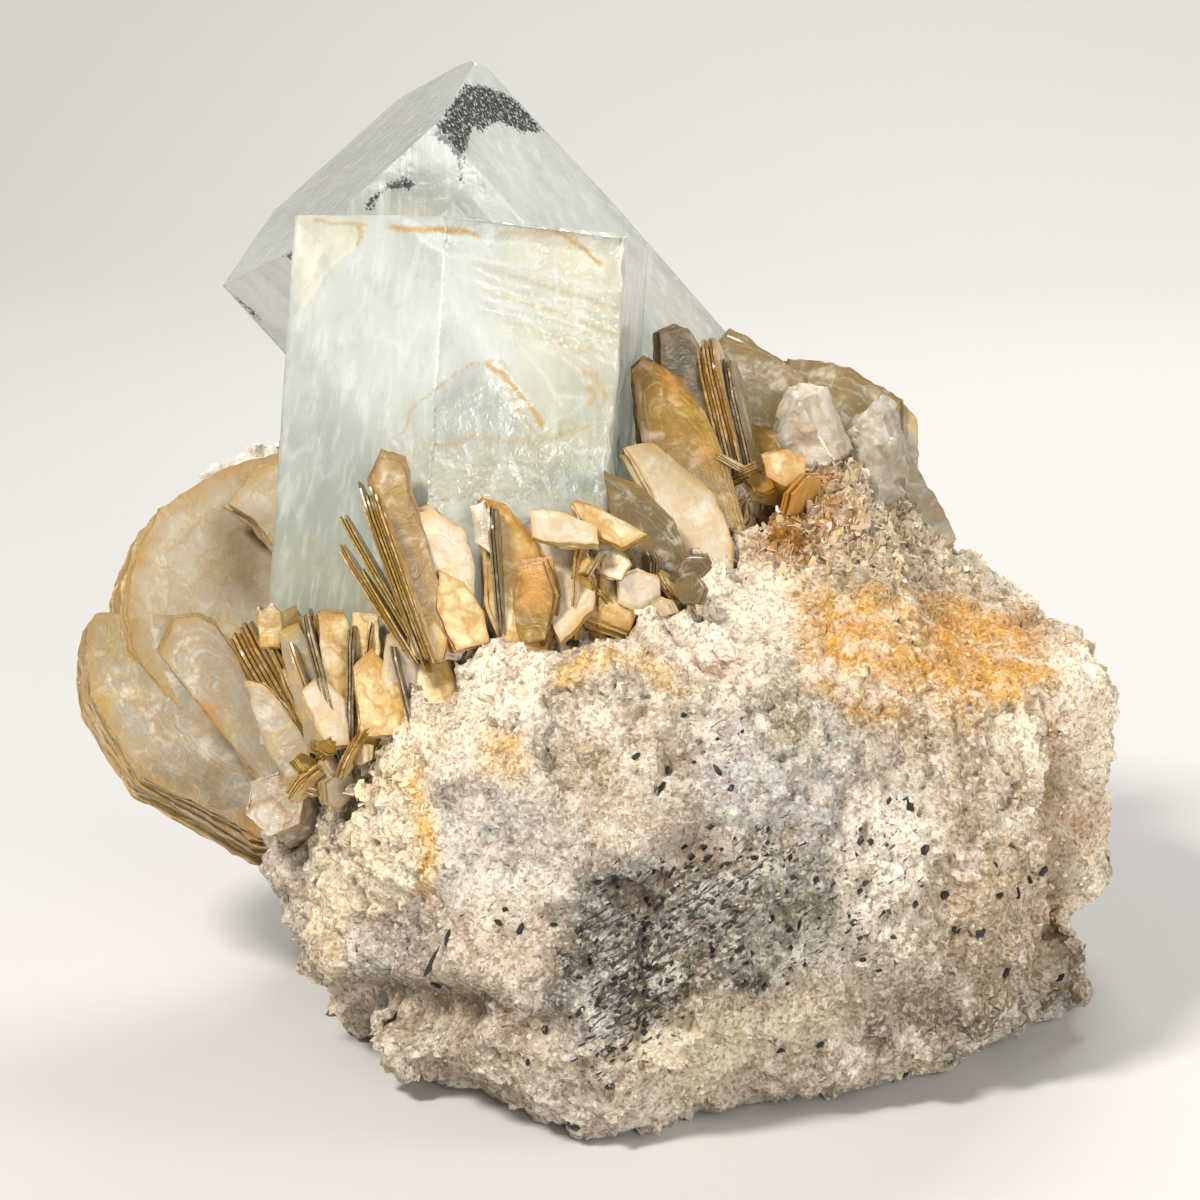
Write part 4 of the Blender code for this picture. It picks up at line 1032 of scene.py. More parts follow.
def stack_tree():
    tree = bpy.data.node_groups.new("mica stack", "GeometryNodeTree")
    inputs = named_inputs(
        tree,
        (
            ("Sheet", "NodeSocketGeometry"), ("Sheets", "NodeSocketInt"),
            ("Pitch", "NodeSocketFloat"), ("Shrink", "NodeSocketFloat"),
            ("Twist", "NodeSocketFloat"), ("Ragged", "NodeSocketFloat"),
            ("Seed", "NodeSocketInt"), ("Finish", "NodeSocketMaterial"),
        ),
    )
    given = tree.nodes.new("NodeGroupInput").outputs
    rise = add(tree, "ShaderNodeCombineXYZ", {"Z": given["Pitch"]}).outputs[0]
    line = add(tree, "GeometryNodeMeshLine", {"Count": given["Sheets"], "Offset": rise}).outputs[0]
    least = add(tree, "ShaderNodeMath", {0: 1.0, 1: given["Shrink"]}, operation="SUBTRACT").outputs[0]
    low = add(tree, "ShaderNodeCombineXYZ", {"X": least, "Y": least, "Z": 1.0}).outputs[0]
    size = add(
        tree, "FunctionNodeRandomValue", {0: low, 1: (1.0, 1.0, 1.0), "Seed": given["Seed"]},
        data_type="FLOAT_VECTOR",
    ).outputs[0]
    back = add(tree, "ShaderNodeMath", {0: given["Twist"], 1: -1.0}, operation="MULTIPLY").outputs[0]
    turn = add(
        tree, "FunctionNodeRandomValue", {2: back, 3: given["Twist"], "Seed": given["Seed"]},
        data_type="FLOAT",
    ).outputs[1]
    angle = add(tree, "ShaderNodeCombineXYZ", {"Z": turn}).outputs[0]
    stack = add(
        tree, "GeometryNodeInstanceOnPoints",
        {"Points": line, "Instance": given["Sheet"], "Rotation": angle, "Scale": size},
    ).outputs[0]
    chance = add(
        tree, "FunctionNodeRandomValue", {2: 0.0, 3: 1.0, "Seed": given["Seed"]}, data_type="FLOAT"
    ).outputs[1]
    stack = add(
        tree, "GeometryNodeStoreNamedAttribute",
        {"Geometry": stack, "Name": "sheet", "Value": chance}, data_type="FLOAT", domain="INSTANCE",
    ).outputs[0]
    real = add(tree, "GeometryNodeRealizeInstances", {"Geometry": stack}).outputs[0]
    where_now = tree.nodes.new("GeometryNodeInputPosition").outputs[0]
    spread = add(
        tree, "ShaderNodeVectorMath", {0: where_now, 1: (1.0, 1.0, 3.7)}, operation="MULTIPLY"
    ).outputs[0]
    waves = add(
        tree, "ShaderNodeTexNoise", {"Vector": spread, "Scale": 0.45, "Detail": 4.0, "Roughness": 0.7}
    ).outputs["Color"]
    centred = add(
        tree, "ShaderNodeVectorMath", {0: waves, 1: (0.5, 0.5, 0.5)}, operation="SUBTRACT"
    ).outputs[0]
    flat = add(
        tree, "ShaderNodeVectorMath", {0: centred, 1: (1.0, 1.0, 0.0)}, operation="MULTIPLY"
    ).outputs[0]
    rim = add(
        tree, "GeometryNodeInputNamedAttribute", {"Name": "rim"}, data_type="FLOAT"
    ).outputs[0]
    reach = add(tree, "ShaderNodeMath", {0: rim, 1: given["Ragged"]}, operation="MULTIPLY").outputs[0]
    moved = add(tree, "ShaderNodeVectorMath", {0: flat, "Scale": reach}, operation="SCALE").outputs[0]
    real = add(tree, "GeometryNodeSetPosition", {"Geometry": real, "Offset": moved}).outputs[0]
    done = add(
        tree, "GeometryNodeSetMaterial", {"Geometry": real, "Material": given["Finish"]}
    ).outputs[0]
    add(tree, "NodeGroupOutput", {0: done})
    return tree, inputs


STACK, STACK_INPUTS = stack_tree()
print("stack inputs:", list(STACK_INPUTS))


# %% Grow a book and bend it into place
def set_inputs(obj, tree, identifiers, values):
    """Adds a node tree to an object and gives its inputs their values."""
    modifier = obj.modifiers.new("grow", "NODES")
    modifier.node_group = tree
    for name, value in values.items():
        modifier[identifiers[name]] = value
    return plain(obj)


CRYSTAL_SURFACE = BVHTree.FromPolygons(
    [vertex.co for vertex in crystals.data.vertices],
    [face.vertices for face in crystals.data.polygons],
)


def keep_off_crystals(mesh, room=0.12):
    """Moves the points that would be inside a crystal out to its surface."""
    moved = 0
    for vertex in mesh.vertices:
        hit, leaving, _, _ = CRYSTAL_SURFACE.ray_cast(vertex.co, TO_VIEWER)
        if hit is not None and leaving.dot(TO_VIEWER) > 0.0:
            place, normal, _, _ = CRYSTAL_SURFACE.find_nearest(vertex.co)
            vertex.co = place + normal * room * MM
            moved += 1
    return moved


def book(outline, centre, along, aside, thick, finish, seed, cup=0.0, shrink=0.1, ragged=0.9,
         twist=0.03, pitch=0.42):
    """A stack of sheets in the plane of two directions, hollowed by cup at its middle."""
    count = max(2, int(round(thick / pitch)))
    step = thick / count
    obj = sheet_object(np.array(outline, float), step * 0.86)
    set_inputs(
        obj, STACK, STACK_INPUTS,
        {"Sheets": count, "Pitch": step, "Shrink": shrink, "Twist": twist, "Ragged": ragged,
         "Seed": seed, "Finish": finish},
    )
    along, aside = np.array(along, float), np.array(aside, float)
    out = np.cross(along, aside)
    out /= np.linalg.norm(out)
    out = out if out[2] <= 0 else -out
    flat, _ = places_of(obj.data)
    flat *= MM
    store(obj.data, "leaf_x", flat[:, 0])
    store(obj.data, "leaf_y", flat[:, 1])
    reach = np.linalg.norm(np.array(outline), axis=1).max()
    hollow = cup * (1.0 - (np.linalg.norm(flat[:, :2], axis=1) / reach) ** 2)
    rise = flat[:, 2] - thick / 2.0 - hollow
    seen_at = np.array(centre) + flat[:, :1] * along + flat[:, 1:2] * aside + rise[:, None] * out
    set_places(obj.data, spot(seen_at))
    return obj


def joined(name, objects):
    """One object from several, with their attributes and finishes."""
    first = objects[0]
    if len(objects) > 1:
        with bpy.context.temp_override(active_object=first, selected_editable_objects=objects):
            bpy.ops.object.join()
    first.name = first.data.name = name
    work = bmesh.new()
    work.from_mesh(first.data)
    bmesh.ops.recalc_face_normals(work, faces=work.faces)
    work.to_mesh(first.data)
    work.free()
    return first


def area_middle(outline):
    """The middle of the area inside an outline."""
    ends = np.vstack([outline, outline[:1]])
    cross = ends[:-1, 0] * ends[1:, 1] - ends[1:, 0] * ends[:-1, 1]
    total = (ends[:-1] + ends[1:]) * cross[:, None]
    return total.sum(axis=0) / (3.0 * cross.sum())


def facing(outline, behind, lean, thick, finish, seed, **more):
    """A book given by its outline as seen, its depth and how it leans away."""
    outline = np.array(outline, float)
    middle = area_middle(outline)
    centre = (*middle, behind)
    return book(outline - middle, centre, (1, 0, lean[0]), (0, 1, lean[1]), thick, finish, seed, **more)


def edgewise(top, foot, depths, thick, finish, seed, twist_aside=0.15, **more):
    """A book seen on its edge, from its top to its foot, reaching between two depths."""
    run = np.array([foot[0] - top[0], foot[1] - top[1], 0.0])
    half = np.linalg.norm(run) / 2.0
    run /= 2.0 * half
    centre = ((top[0] + foot[0]) / 2, (top[1] + foot[1]) / 2, sum(depths) / 2)
    deep = (depths[1] - depths[0]) / 2
    outline = [
        (-half, -0.5 * deep), (-0.7 * half, -0.9 * deep), (0.3 * half, -deep), (half, -0.8 * deep),
        (half, 0.8 * deep), (0.1 * half, deep), (-0.75 * half, 0.8 * deep), (-half, 0.3 * deep),
    ]
    return book(outline, centre, run, (twist_aside, 0.0, 1.0), thick, finish, seed, **more)


# %% [markdown]
# ### The finish of mica
# The faces are pearly and cloudy, grey in the middle and honey brown near the rim, with fine lines
# that repeat the outline. The edges of the sheets are striped, and iron stains gather in patches.
# The golden colour at the rims and along the cracks is partly their stain and partly painted glow,
# as of light shining through the thin sheets. Dark zones are painted shade in the deep cup of the
# large book, beside dark patches of the mica.
# The material reads the numbers that the sheets carry: nearness to the rim, the sheet's own
# number, and whether a face belongs to the edge.


# %% Pearly muscovite in several tones
def muscovite(name, middle, honey, seam, side_pale, side_dark, golden=0.5):
    made, tree, surface, place = new_finish(name)
    rim, sheet, side, across, up, stain, shade = [
        add(tree, "ShaderNodeAttribute", attribute_name=key).outputs["Fac"]
        for key in ("rim", "sheet", "side", "leaf_x", "leaf_y", "stain", "shade")
    ]
    apart = add(tree, "ShaderNodeMath", {0: sheet, 1: 40.0}, operation="MULTIPLY").outputs[0]
    own = add(tree, "ShaderNodeCombineXYZ", {"X": across, "Y": up, "Z": apart}).outputs[0]
    mist, blots, fine = [
        add(
            tree, "ShaderNodeTexNoise",
            {"Vector": vector, "Scale": size, "Detail": 4.0, "Roughness": 0.66, "Distortion": 0.5},
        ).outputs["Fac"]
        for vector, size in ((own, 0.24), (place, per_mm(2.2)), (place, per_mm(0.4)))
    ]
    bent = add(tree, "ShaderNodeMath", {0: mist, 1: 0.3, 2: rim}, operation="MULTIPLY_ADD").outputs[0]
    wavy = add(tree, "ShaderNodeCombineXYZ", {"X": bent, "Y": sheet}).outputs[0]
    layers = add(
        tree, "ShaderNodeTexNoise", {"Vector": wavy, "Scale": 22.0, "Detail": 2.0, "Roughness": 0.5}
    ).outputs["Fac"]
    warp = add(tree, "ShaderNodeTexNoise", {"Vector": own, "Scale": 0.35, "Detail": 3.0}).outputs["Color"]
    shifted = add(
        tree, "ShaderNodeVectorMath", {0: warp, 1: (9.0, 9.0, 0.0), 2: own}, operation="MULTIPLY_ADD"
    ).outputs[0]
    seams = add(
        tree, "ShaderNodeTexVoronoi", {"Vector": shifted, "Scale": 0.26}, feature="DISTANCE_TO_EDGE"
    ).outputs["Distance"]
    maps = {}
    for key, value, start, end, most in (
        ("honey", mist, 0.62 - golden * 0.3, 0.72 - golden * 0.2, 0.9),
        ("rim", bent, 0.98, 1.2, 0.85),
        ("glow", seams, 0.14, 0.0, 0.25 + golden * 0.45),
        ("vein", seams, 0.02, 0.006, 0.35),
        ("line", layers, 0.58, 0.66, 0.12),
        ("pearl", layers, 0.42, 0.34, 0.16),
        ("light", blots, 0.52, 0.66, 0.35),
        ("some", blots, 0.52, 0.62, 1.0),
        ("stripe", fine, 0.35, 0.65, 1.0),
    ):
        maps[key] = add(
            tree, "ShaderNodeMapRange",
            {"Value": value, "From Min": start, "From Max": end, "To Min": 0.0, "To Max": most},
        ).outputs[0]
    some_vein = add(tree, "ShaderNodeMath", {0: maps["vein"], 1: maps["some"]}, operation="MULTIPLY").outputs[0]
    colour = laid_over(tree, maps["honey"], honey, middle)
    colour = laid_over(tree, maps["light"], "#fff6e2", colour)
    colour = laid_over(tree, maps["line"], side_dark, colour)
    colour = laid_over(tree, maps["pearl"], "#fdf3dc", colour)
    # Partly stain, partly painted glow: the seam colour at the rims and along the cracks, as of light shining
    # through thin sheets.
    colour = laid_over(tree, maps["rim"], seam, colour)
    colour = laid_over(tree, maps["glow"], seam, colour)
    colour = laid_over(tree, some_vein, "#94672a", colour)
    striped = laid_over(tree, sheet, side_pale, side_dark)
    striped = laid_over(tree, maps["stripe"], striped, side_dark)
    colour = laid_over(tree, side, striped, colour)
    patched = add(tree, "ShaderNodeMath", {0: blots, 1: stain}, operation="ADD").outputs[0]
    orange = add(
        tree, "ShaderNodeMapRange",
        {"Value": patched, "From Min": 0.85, "From Max": 1.2, "To Min": 0.0, "To Max": 0.9},
    ).outputs[0]
    colour = laid_over(tree, orange, "#b98129", colour)
    # Dark patches of the mica, and painted shade in the deep cup of the large book.
    colour = laid_over(tree, shade, "#6e5d3c", colour)
    tree.links.new(colour, surface.inputs["Base Color"])
    rough = add(
        tree, "ShaderNodeMapRange",
        {"Value": blots, "From Min": 0.3, "From Max": 0.7, "To Min": 0.22, "To Max": 0.5},
    ).outputs[0]
    tree.links.new(rough, surface.inputs["Roughness"])
    low = add(
        tree, "ShaderNodeBump", {"Height": blots, "Strength": 0.3, "Distance": 0.5 * MM}
    ).outputs[0]
    relief = add(
        tree, "ShaderNodeBump", {"Height": layers, "Strength": 0.2, "Distance": 0.15 * MM, "Normal": low}
    ).outputs[0]
    tree.links.new(relief, surface.inputs["Normal"])
    surface.inputs["Transmission Weight"].default_value = 0.12
    surface.inputs["IOR"].default_value = 1.58
    surface.inputs["Coat Weight"].default_value = 0.2
    surface.inputs["Coat Roughness"].default_value = 0.2
    return made


CREAM_MICA = muscovite("muscovite_cream", "#cdc0a8", "#d8c594", "#c09446", "#ecd8a8", "#a5854a", 0.3)
GREY_MICA = muscovite("muscovite_grey_pearl", "#a39a88", "#b9a97c", "#ab8234", "#d8c084", "#846a36", 0.35)
GOLD_MICA = muscovite("muscovite_golden", "#dccb9c", "#c79f4e", "#a8731f", "#d9b468", "#80591a", 0.75)
AMBER_MICA = muscovite("muscovite_amber", "#9f8030", "#8e6c1c", "#7f5712", "#cda848", "#7b5f1e", 0.8)
DIM_MICA = muscovite("muscovite_smoky", "#6b5f42", "#857144", "#85642a", "#b09a6a", "#5c4d30", 0.4)
RIDGE_MICA = muscovite("muscovite_olive_brown", "#807455", "#917d48", "#80601f", "#bfa470", "#6b5530", 0.5)
print("mica finishes:", 6)

# %% [markdown]
# ### The books on the left
# A large cupped book stands behind, a low one reaches furthest out, a pointed one leans in front
# of both, and one is seen on its edge.

# %% Left books
LARGE = [
    (-43.3, 1.4), (-42.6, 3.6), (-40.8, 7.4), (-39.0, 8.9), (-35.5, 10.9), (-32.9, 11.9),
    (-28.9, 13.0), (-24.0, 11.0), (-20.0, 4.0), (-18.0, -5.0), (-19.0, -13.0), (-27.0, -14.5),
    (-34.5, -11.8), (-37.3, -11.3), (-39.8, -9.1), (-43.0, -5.2), (-43.5, -1.8),
]
LARGE_INNER = [
    (-33.6, 8.6), (-31.1, 11.9), (-28.9, 12.7), (-25.0, 11.0), (-23.0, 3.0), (-26.0, 0.0),
    (-29.4, 4.3), (-31.1, 6.8),
]
LOW = [
    (-46.7, -2.5), (-46.1, -1.7), (-42.0, -1.4), (-36.0, -2.0), (-29.0, -7.0), (-23.0, -13.0),
    (-20.0, -19.0), (-24.0, -24.0), (-31.0, -22.7), (-36.7, -19.4), (-41.9, -16.7),
    (-44.6, -12.6), (-46.6, -9.0), (-47.0, -5.5),
]
POINTED = [
    (-40.0, -4.3), (-38.4, -1.3), (-36.5, -1.1), (-34.6, -2.0), (-32.8, -4.4), (-30.0, -10.0),
    (-27.4, -16.0), (-26.6, -21.0), (-29.0, -18.0), (-31.8, -14.6), (-34.3, -11.5), (-38.2, -6.8),
]


MICA_STAINS = (
    (marks((185, 700), (225, 700), (230, 740), (190, 738)), 0.7),
    (marks((235, 800), (262, 810), (262, 852), (240, 835)), 0.8),
    (marks((515, 552), (552, 548), (552, 615), (515, 610)), 0.7),
    (marks((700, 390), (728, 450), (720, 492), (690, 480)), 0.55),
    (marks((355, 440), (385, 445), (375, 500), (358, 500)), 0.5),
    (marks((280, 640), (300, 650), (320, 740), (295, 720)), 0.5),
    (marks((760, 470), (830, 470), (830, 545), (760, 545)), 0.7),
    (marks((640, 350), (668, 362), (702, 410), (727, 470), (712, 480), (688, 425), (652, 378)), 0.6),
    (marks((328, 702), (346, 692), (352, 742), (336, 746)), 0.55),
    (marks((238, 640), (252, 640), (302, 742), (286, 746)), 0.45),
    (marks((440, 500), (456, 500), (470, 610), (450, 620)), 0.5),
)
# Dark zones on the mica: the first is painted shade in the deep cup of the large book, the others are dark patches
# of the mica.
MICA_DARK_PATCHES_AND_SHADE = (
    (marks((217, 520), (262, 520), (270, 616), (235, 616), (215, 580)), 0.75),
    (marks((150, 770), (210, 770), (250, 820), (245, 850), (190, 800)), 0.8),
    (marks((85, 625), (118, 622), (118, 650), (90, 650)), 0.35),
    (marks((606, 469), (640, 490), (640, 530), (604, 505)), 0.45),
    (marks((636, 430), (717, 480), (700, 492), (640, 450)), 0.6),
)


def shown_book(name, node, parts):
    """Joins the books of one solid, keeps them off the crystals and lets them stand for it."""
    obj = joined(name, parts)
    moved = keep_off_crystals(obj.data)
    places, _ = places_of(obj.data)
    where, _ = as_seen(places)
    store(obj.data, "stain", strongest(where, MICA_STAINS, 1.2))
    store(obj.data, "shade", strongest(where, MICA_DARK_PATCHES_AND_SHADE, 2.0))
    smooth(obj, 30)
    print(name, "points moved off the crystals:", moved)
    return finished(obj, [node])


shown_book(
    "mica_cupped_book", "mica_book_left_large",
    [
        facing(LARGE, 20.0, (0.35, 0.5), 5.5, CREAM_MICA, 11, cup=3.2, shrink=0.08, ragged=1.4),
        facing(LARGE_INNER, 20.4, (0.3, 0.4), 1.6, CREAM_MICA, 12, ragged=0.9),
    ],
)
shown_book(
    "mica_low_book", "mica_book_left_low",
    [facing(LOW, 13.0, (0.1, 0.5), 5.0, GREY_MICA, 13, cup=0.6, shrink=0.08, ragged=1.2)],
)
shown_book(
    "mica_pointed_book", "mica_book_left_pointed",
    [facing(POINTED, 2.0, (0.0, -0.12), 4.0, GREY_MICA, 14, shrink=0.12, ragged=0.9)],
)
shown_book(
    "mica_edge_book", "mica_book_left_edge",
    [
        edgewise((-32.9, -1.6), (-23.6, -17.5), (-9.0, 1.5), 2.6, GOLD_MICA, 15, 0.1, shrink=0.2),
        edgewise((-30.6, -0.6), (-23.0, -16.5), (-11.0, -3.0), 1.2, GOLD_MICA, 16, 0.1),
        edgewise((-28.4, -6.2), (-23.4, -16.0), (-12.0, -6.0), 0.8, CREAM_MICA, 17, 0.2),
    ],
)

# %% [markdown]
# ### Fans and sprays in front
# At the foot of the front prism the books are small and stand at all angles, many of them seen
# on the edge, like feathers stuck in the rock.

# %% Fans, spray and cluster
FAN_A = [(-29.1, -2.4), (-27.0, -1.6), (-24.6, -6.0), (-22.8, -15.0), (-26.0, -14.0), (-28.0, -7.0)]
FAN_B = [
    (-25.7, -0.5), (-23.2, -0.4), (-22.2, -3.6), (-21.6, -9.0), (-21.8, -15.0), (-24.4, -12.5),
    (-25.4, -4.5),
]
FAN_C = [(-22.2, -1.1), (-20.0, -1.3), (-19.6, -4.5), (-20.2, -10.0), (-21.5, -15.0), (-22.8, -8.0)]
shown_book(
    "mica_fan", "mica_fan_left",
    [
        facing(FAN_B, -15.0, (0.35, 0.05), 1.6, GOLD_MICA, 21, shrink=0.14),
        facing(FAN_A, -13.5, (-0.35, 0.0), 1.5, GREY_MICA, 22, shrink=0.14),
        facing(FAN_C, -15.5, (-0.3, 0.1), 1.3, GOLD_MICA, 23, shrink=0.14),
        edgewise((-26.4, -0.9), (-22.6, -15.0), (-17.5, -11.0), 0.9, DIM_MICA, 24, pitch=0.3),
        edgewise((-22.1, -2.1), (-22.2, -14.0), (-17.5, -12.0), 0.8, DIM_MICA, 25, pitch=0.3),
        edgewise((-20.3, -1.4), (-21.6, -14.0), (-17.0, -13.0), 0.6, AMBER_MICA, 26, pitch=0.3),
        edgewise((-28.0, -3.5), (-23.4, -15.5), (-16.5, -13.0), 0.6, CREAM_MICA, 27, pitch=0.3),
        facing(marks((243, 680), (262, 684), (285, 706), (312, 748), (318, 782), (293, 786), (268, 752)),
               -12.0, (-0.2, 0.1), 1.6, GREY_MICA, 201),
        facing(marks((352, 668), (372, 650), (392, 672), (410, 700), (400, 735), (360, 740)),
               -17.6, (0.1, 0.3), 1.3, GOLD_MICA, 202),
        facing(marks((300, 690), (320, 672), (345, 700), (350, 748), (325, 752)),
               -16.9, (0.2, 0.2), 1.1, CREAM_MICA, 203),
        facing(marks((280, 612), (296, 604), (306, 625), (300, 655), (284, 645)),
               -11.6, (0.2, 0.1), 1.0, AMBER_MICA, 204),
        facing(marks((256, 614), (272, 602), (284, 614), (282, 650), (262, 650)),
               -10.4, (-0.2, 0.1), 1.0, GOLD_MICA, 205),
    ],
)
LOW_LEAF = [(-19.4, -2.6), (-17.4, -2.2), (-15.6, -5.0), (-16.0, -11.5), (-19.0, -12.0), (-19.8, -7.0)]
LOW_SECOND = [(-16.2, -4.6), (-13.6, -5.0), (-12.4, -8.0), (-13.0, -11.0), (-16.4, -11.0)]
shown_book(
    "mica_low_plates", "mica_fan_small",
    [
        facing(LOW_LEAF, -16.6, (0.2, 0.1), 1.8, CREAM_MICA, 31, shrink=0.2),
        facing(LOW_SECOND, -17.6, (-0.2, 0.2), 1.6, GOLD_MICA, 32, shrink=0.2),
        edgewise((-18.6, -4.0), (-16.6, -12.0), (-19.5, -16.0), 0.5, DIM_MICA, 33, pitch=0.25),
    ],
)
TALL = [
    (-21.0, 11.3), (-19.8, 13.7), (-17.7, 13.1), (-16.9, 9.8), (-15.6, 5.4), (-13.6, -2.0),
    (-13.8, -5.2), (-15.8, -5.2), (-17.4, -2.0), (-19.6, 4.0),
]
WIDE = [
    (-17.5, 8.3), (-15.3, 8.7), (-12.2, 6.5), (-11.0, 3.2), (-11.4, -2.0), (-12.3, -5.6),
    (-15.2, -5.4), (-16.0, -1.0),
]
shown_book(
    "mica_spray", "mica_spray_centre",
    [
        facing(TALL, -18.8, (0.1, 0.05), 1.9, AMBER_MICA, 41, shrink=0.12),
        facing(WIDE, -18.0, (0.3, 0.05), 1.4, CREAM_MICA, 42, shrink=0.12),
        edgewise((-21.2, 10.8), (-14.9, -6.5), (-22.0, -17.0), 1.7, AMBER_MICA, 43, shrink=0.2, pitch=0.3),
        edgewise((-23.1, 7.6), (-15.8, -5.0), (-20.5, -17.5), 0.8, AMBER_MICA, 44, pitch=0.25),
        edgewise((-23.4, 5.1), (-17.0, -5.0), (-20.0, -16.5), 0.7, GOLD_MICA, 45, pitch=0.25),
        edgewise((-21.6, 3.0), (-16.2, -6.0), (-21.5, -18.5), 0.5, AMBER_MICA, 46, pitch=0.25),
        edgewise((-20.0, 9.6), (-14.6, -6.0), (-23.0, -20.5), 0.5, GOLD_MICA, 47, pitch=0.25),
        facing(marks((436, 568), (462, 580), (484, 612), (490, 645), (455, 655), (434, 612)),
               -19.0, (0.3, 0.2), 1.1, GOLD_MICA, 206),
        facing(marks((398, 598), (425, 604), (450, 640), (446, 662), (412, 660)),
               -20.0, (0.1, 0.2), 1.0, GOLD_MICA, 207),
    ],
)
BLADE = [(-11.0, 9.3), (-8.8, 8.7), (-5.9, 5.4), (-3.6, 0.5), (-4.4, -5.5), (-8.0, -6.0), (-10.4, -1.0)]
LENS = [(-6.6, 7.4), (-2.9, 8.3), (0.2, 4.6), (-0.4, -1.5), (-3.4, -5.0), (-5.6, 0.0)]
ROOF = [(-2.9, 8.8), (1.0, 7.6), (4.4, 5.6), (4.6, 0.5), (2.4, -3.5), (-1.5, -2.0), (-2.4, 3.0)]
RING = [(-7.4, 3.6), (-4.6, 4.0), (-3.6, 0.6), (-4.6, -4.4), (-7.2, -4.6), (-8.0, -1.0)]
shown_book(
    "mica_cluster", "mica_cluster_centre",
    [
        facing(BLADE, -16.0, (0.25, 0.3), 1.6, GOLD_MICA, 51, shrink=0.15),
        facing(LENS, -14.4, (0.1, 0.6), 1.4, CREAM_MICA, 52, shrink=0.15),
        facing(ROOF, -11.8, (0.3, 0.7), 1.5, GOLD_MICA, 53, shrink=0.15),
        facing(RING, -17.4, (-0.3, 0.1), 1.8, AMBER_MICA, 54, shrink=0.25),
        edgewise((-9.6, 8.6), (-8.4, -5.0), (-18.5, -14.5), 0.9, DIM_MICA, 55, pitch=0.3),
        edgewise((1.0, 4.6), (0.6, -3.8), (-15.5, -10.5), 1.1, GOLD_MICA, 56, 0.5, pitch=0.3),
        edgewise((4.0, 4.6), (3.4, -3.0), (-13.5, -8.5), 1.1, DIM_MICA, 57, -0.5, pitch=0.3),
        edgewise((-1.6, 5.6), (-2.0, -4.0), (-17.0, -13.5), 0.5, GOLD_MICA, 58, 0.3, pitch=0.25),
        facing(marks((528, 510), (560, 511), (600, 530), (602, 548), (560, 547), (530, 540)),
               -16.8, (0.0, 0.8), 0.9, CREAM_MICA, 208),
        facing(marks((568, 500), (600, 508), (652, 538), (622, 552), (585, 532)),
               -15.6, (0.1, 0.5), 1.0, GOLD_MICA, 209),
        facing(marks((470, 506), (484, 500), (493, 520), (492, 556), (477, 545)),
               -17.4, (-0.2, 0.2), 0.8, GREY_MICA, 210),
    ],
)

# %% [markdown]
# ### Blades on the right
# A grey blade and a beige one lean on the front prism, an amber lens stands before its right
# edge, and behind it the striped books run up to the ridge.

# %% Right-hand blades and the ridge
GREY = [(0.3, 11.6), (3.6, 10.4), (6.6, 7.2), (8.4, 2.6), (7.0, -2.0), (3.4, 0.0), (1.2, 6.0)]
BEIGE = [
    (1.7, 14.0), (4.5, 14.2), (10.2, 9.6), (12.0, 5.0), (12.0, -1.5), (8.6, -1.0), (6.4, 6.0),
    (3.6, 10.6),
]
AMBER = [
    (2.8, 21.1), (3.9, 22.1), (6.9, 20.0), (9.2, 16.9), (11.1, 12.2), (13.0, 5.0), (13.0, 0.0),
    (9.0, 2.0), (5.6, 9.0), (3.2, 14.5),
]
STRIPED = [
    (4.8, 24.2), (6.4, 24.8), (8.0, 24.3), (9.8, 21.1), (12.5, 14.3), (14.5, 5.0), (10.0, 3.0),
    (5.5, 12.0),
]
RUSTY = [(12.4, 16.0), (15.6, 15.0), (17.4, 10.0), (18.4, 3.0), (14.4, 1.0), (12.6, 8.0)]
RIDGE = (
    [(10.6, 23.6), (11.2, 24.4), (13.5, 23.3), (16.3, 21.6), (18.6, 20.0), (18.0, 7.0), (11.5, 7.0)],
    [(16.0, 21.4), (20.2, 21.2), (22.3, 20.6), (25.8, 18.5), (27.1, 17.9), (27.5, 6.0), (17.0, 6.0)],
    [(25.6, 18.2), (27.1, 17.9), (28.4, 16.3), (28.5, 11.5), (30.2, 8.8), (32.0, 4.8), (27.0, 1.0),
     (24.5, 8.0)],
)
shown_book(
    "mica_smoky_blade", "mica_blade_grey",
    [facing(GREY, -10.6, (0.3, 0.3), 1.3, DIM_MICA, 61, shrink=0.1, pitch=0.3)],
)
shown_book(
    "mica_beige_blade", "mica_blade_beige",
    [facing(BEIGE, -6.6, (0.3, 0.25), 1.6, CREAM_MICA, 62, shrink=0.1, pitch=0.3)],
)
shown_book(
    "mica_amber_blade", "mica_blade_amber",
    [facing(AMBER, -2.4, (0.2, 0.1), 2.6, AMBER_MICA, 63, cup=-1.0, shrink=0.16, pitch=0.35)],
)
shown_book(
    "mica_striped_books", "mica_books_right",
    [
        facing(STRIPED, 3.6, (0.15, 0.1), 3.2, DIM_MICA, 64, shrink=0.14),
        edgewise((9.6, 23.6), (14.2, 5.0), (1.0, 9.0), 1.8, GOLD_MICA, 65, pitch=0.3),
        edgewise((11.4, 21.6), (15.6, 4.0), (2.0, 9.5), 1.4, DIM_MICA, 66, pitch=0.3),
    ],
)
shown_book(
    "mica_rusty_book", "mica_book_rusty",
    [facing(RUSTY, 6.0, (0.2, 0.35), 3.0, AMBER_MICA, 67, shrink=0.3, ragged=1.6)],
)
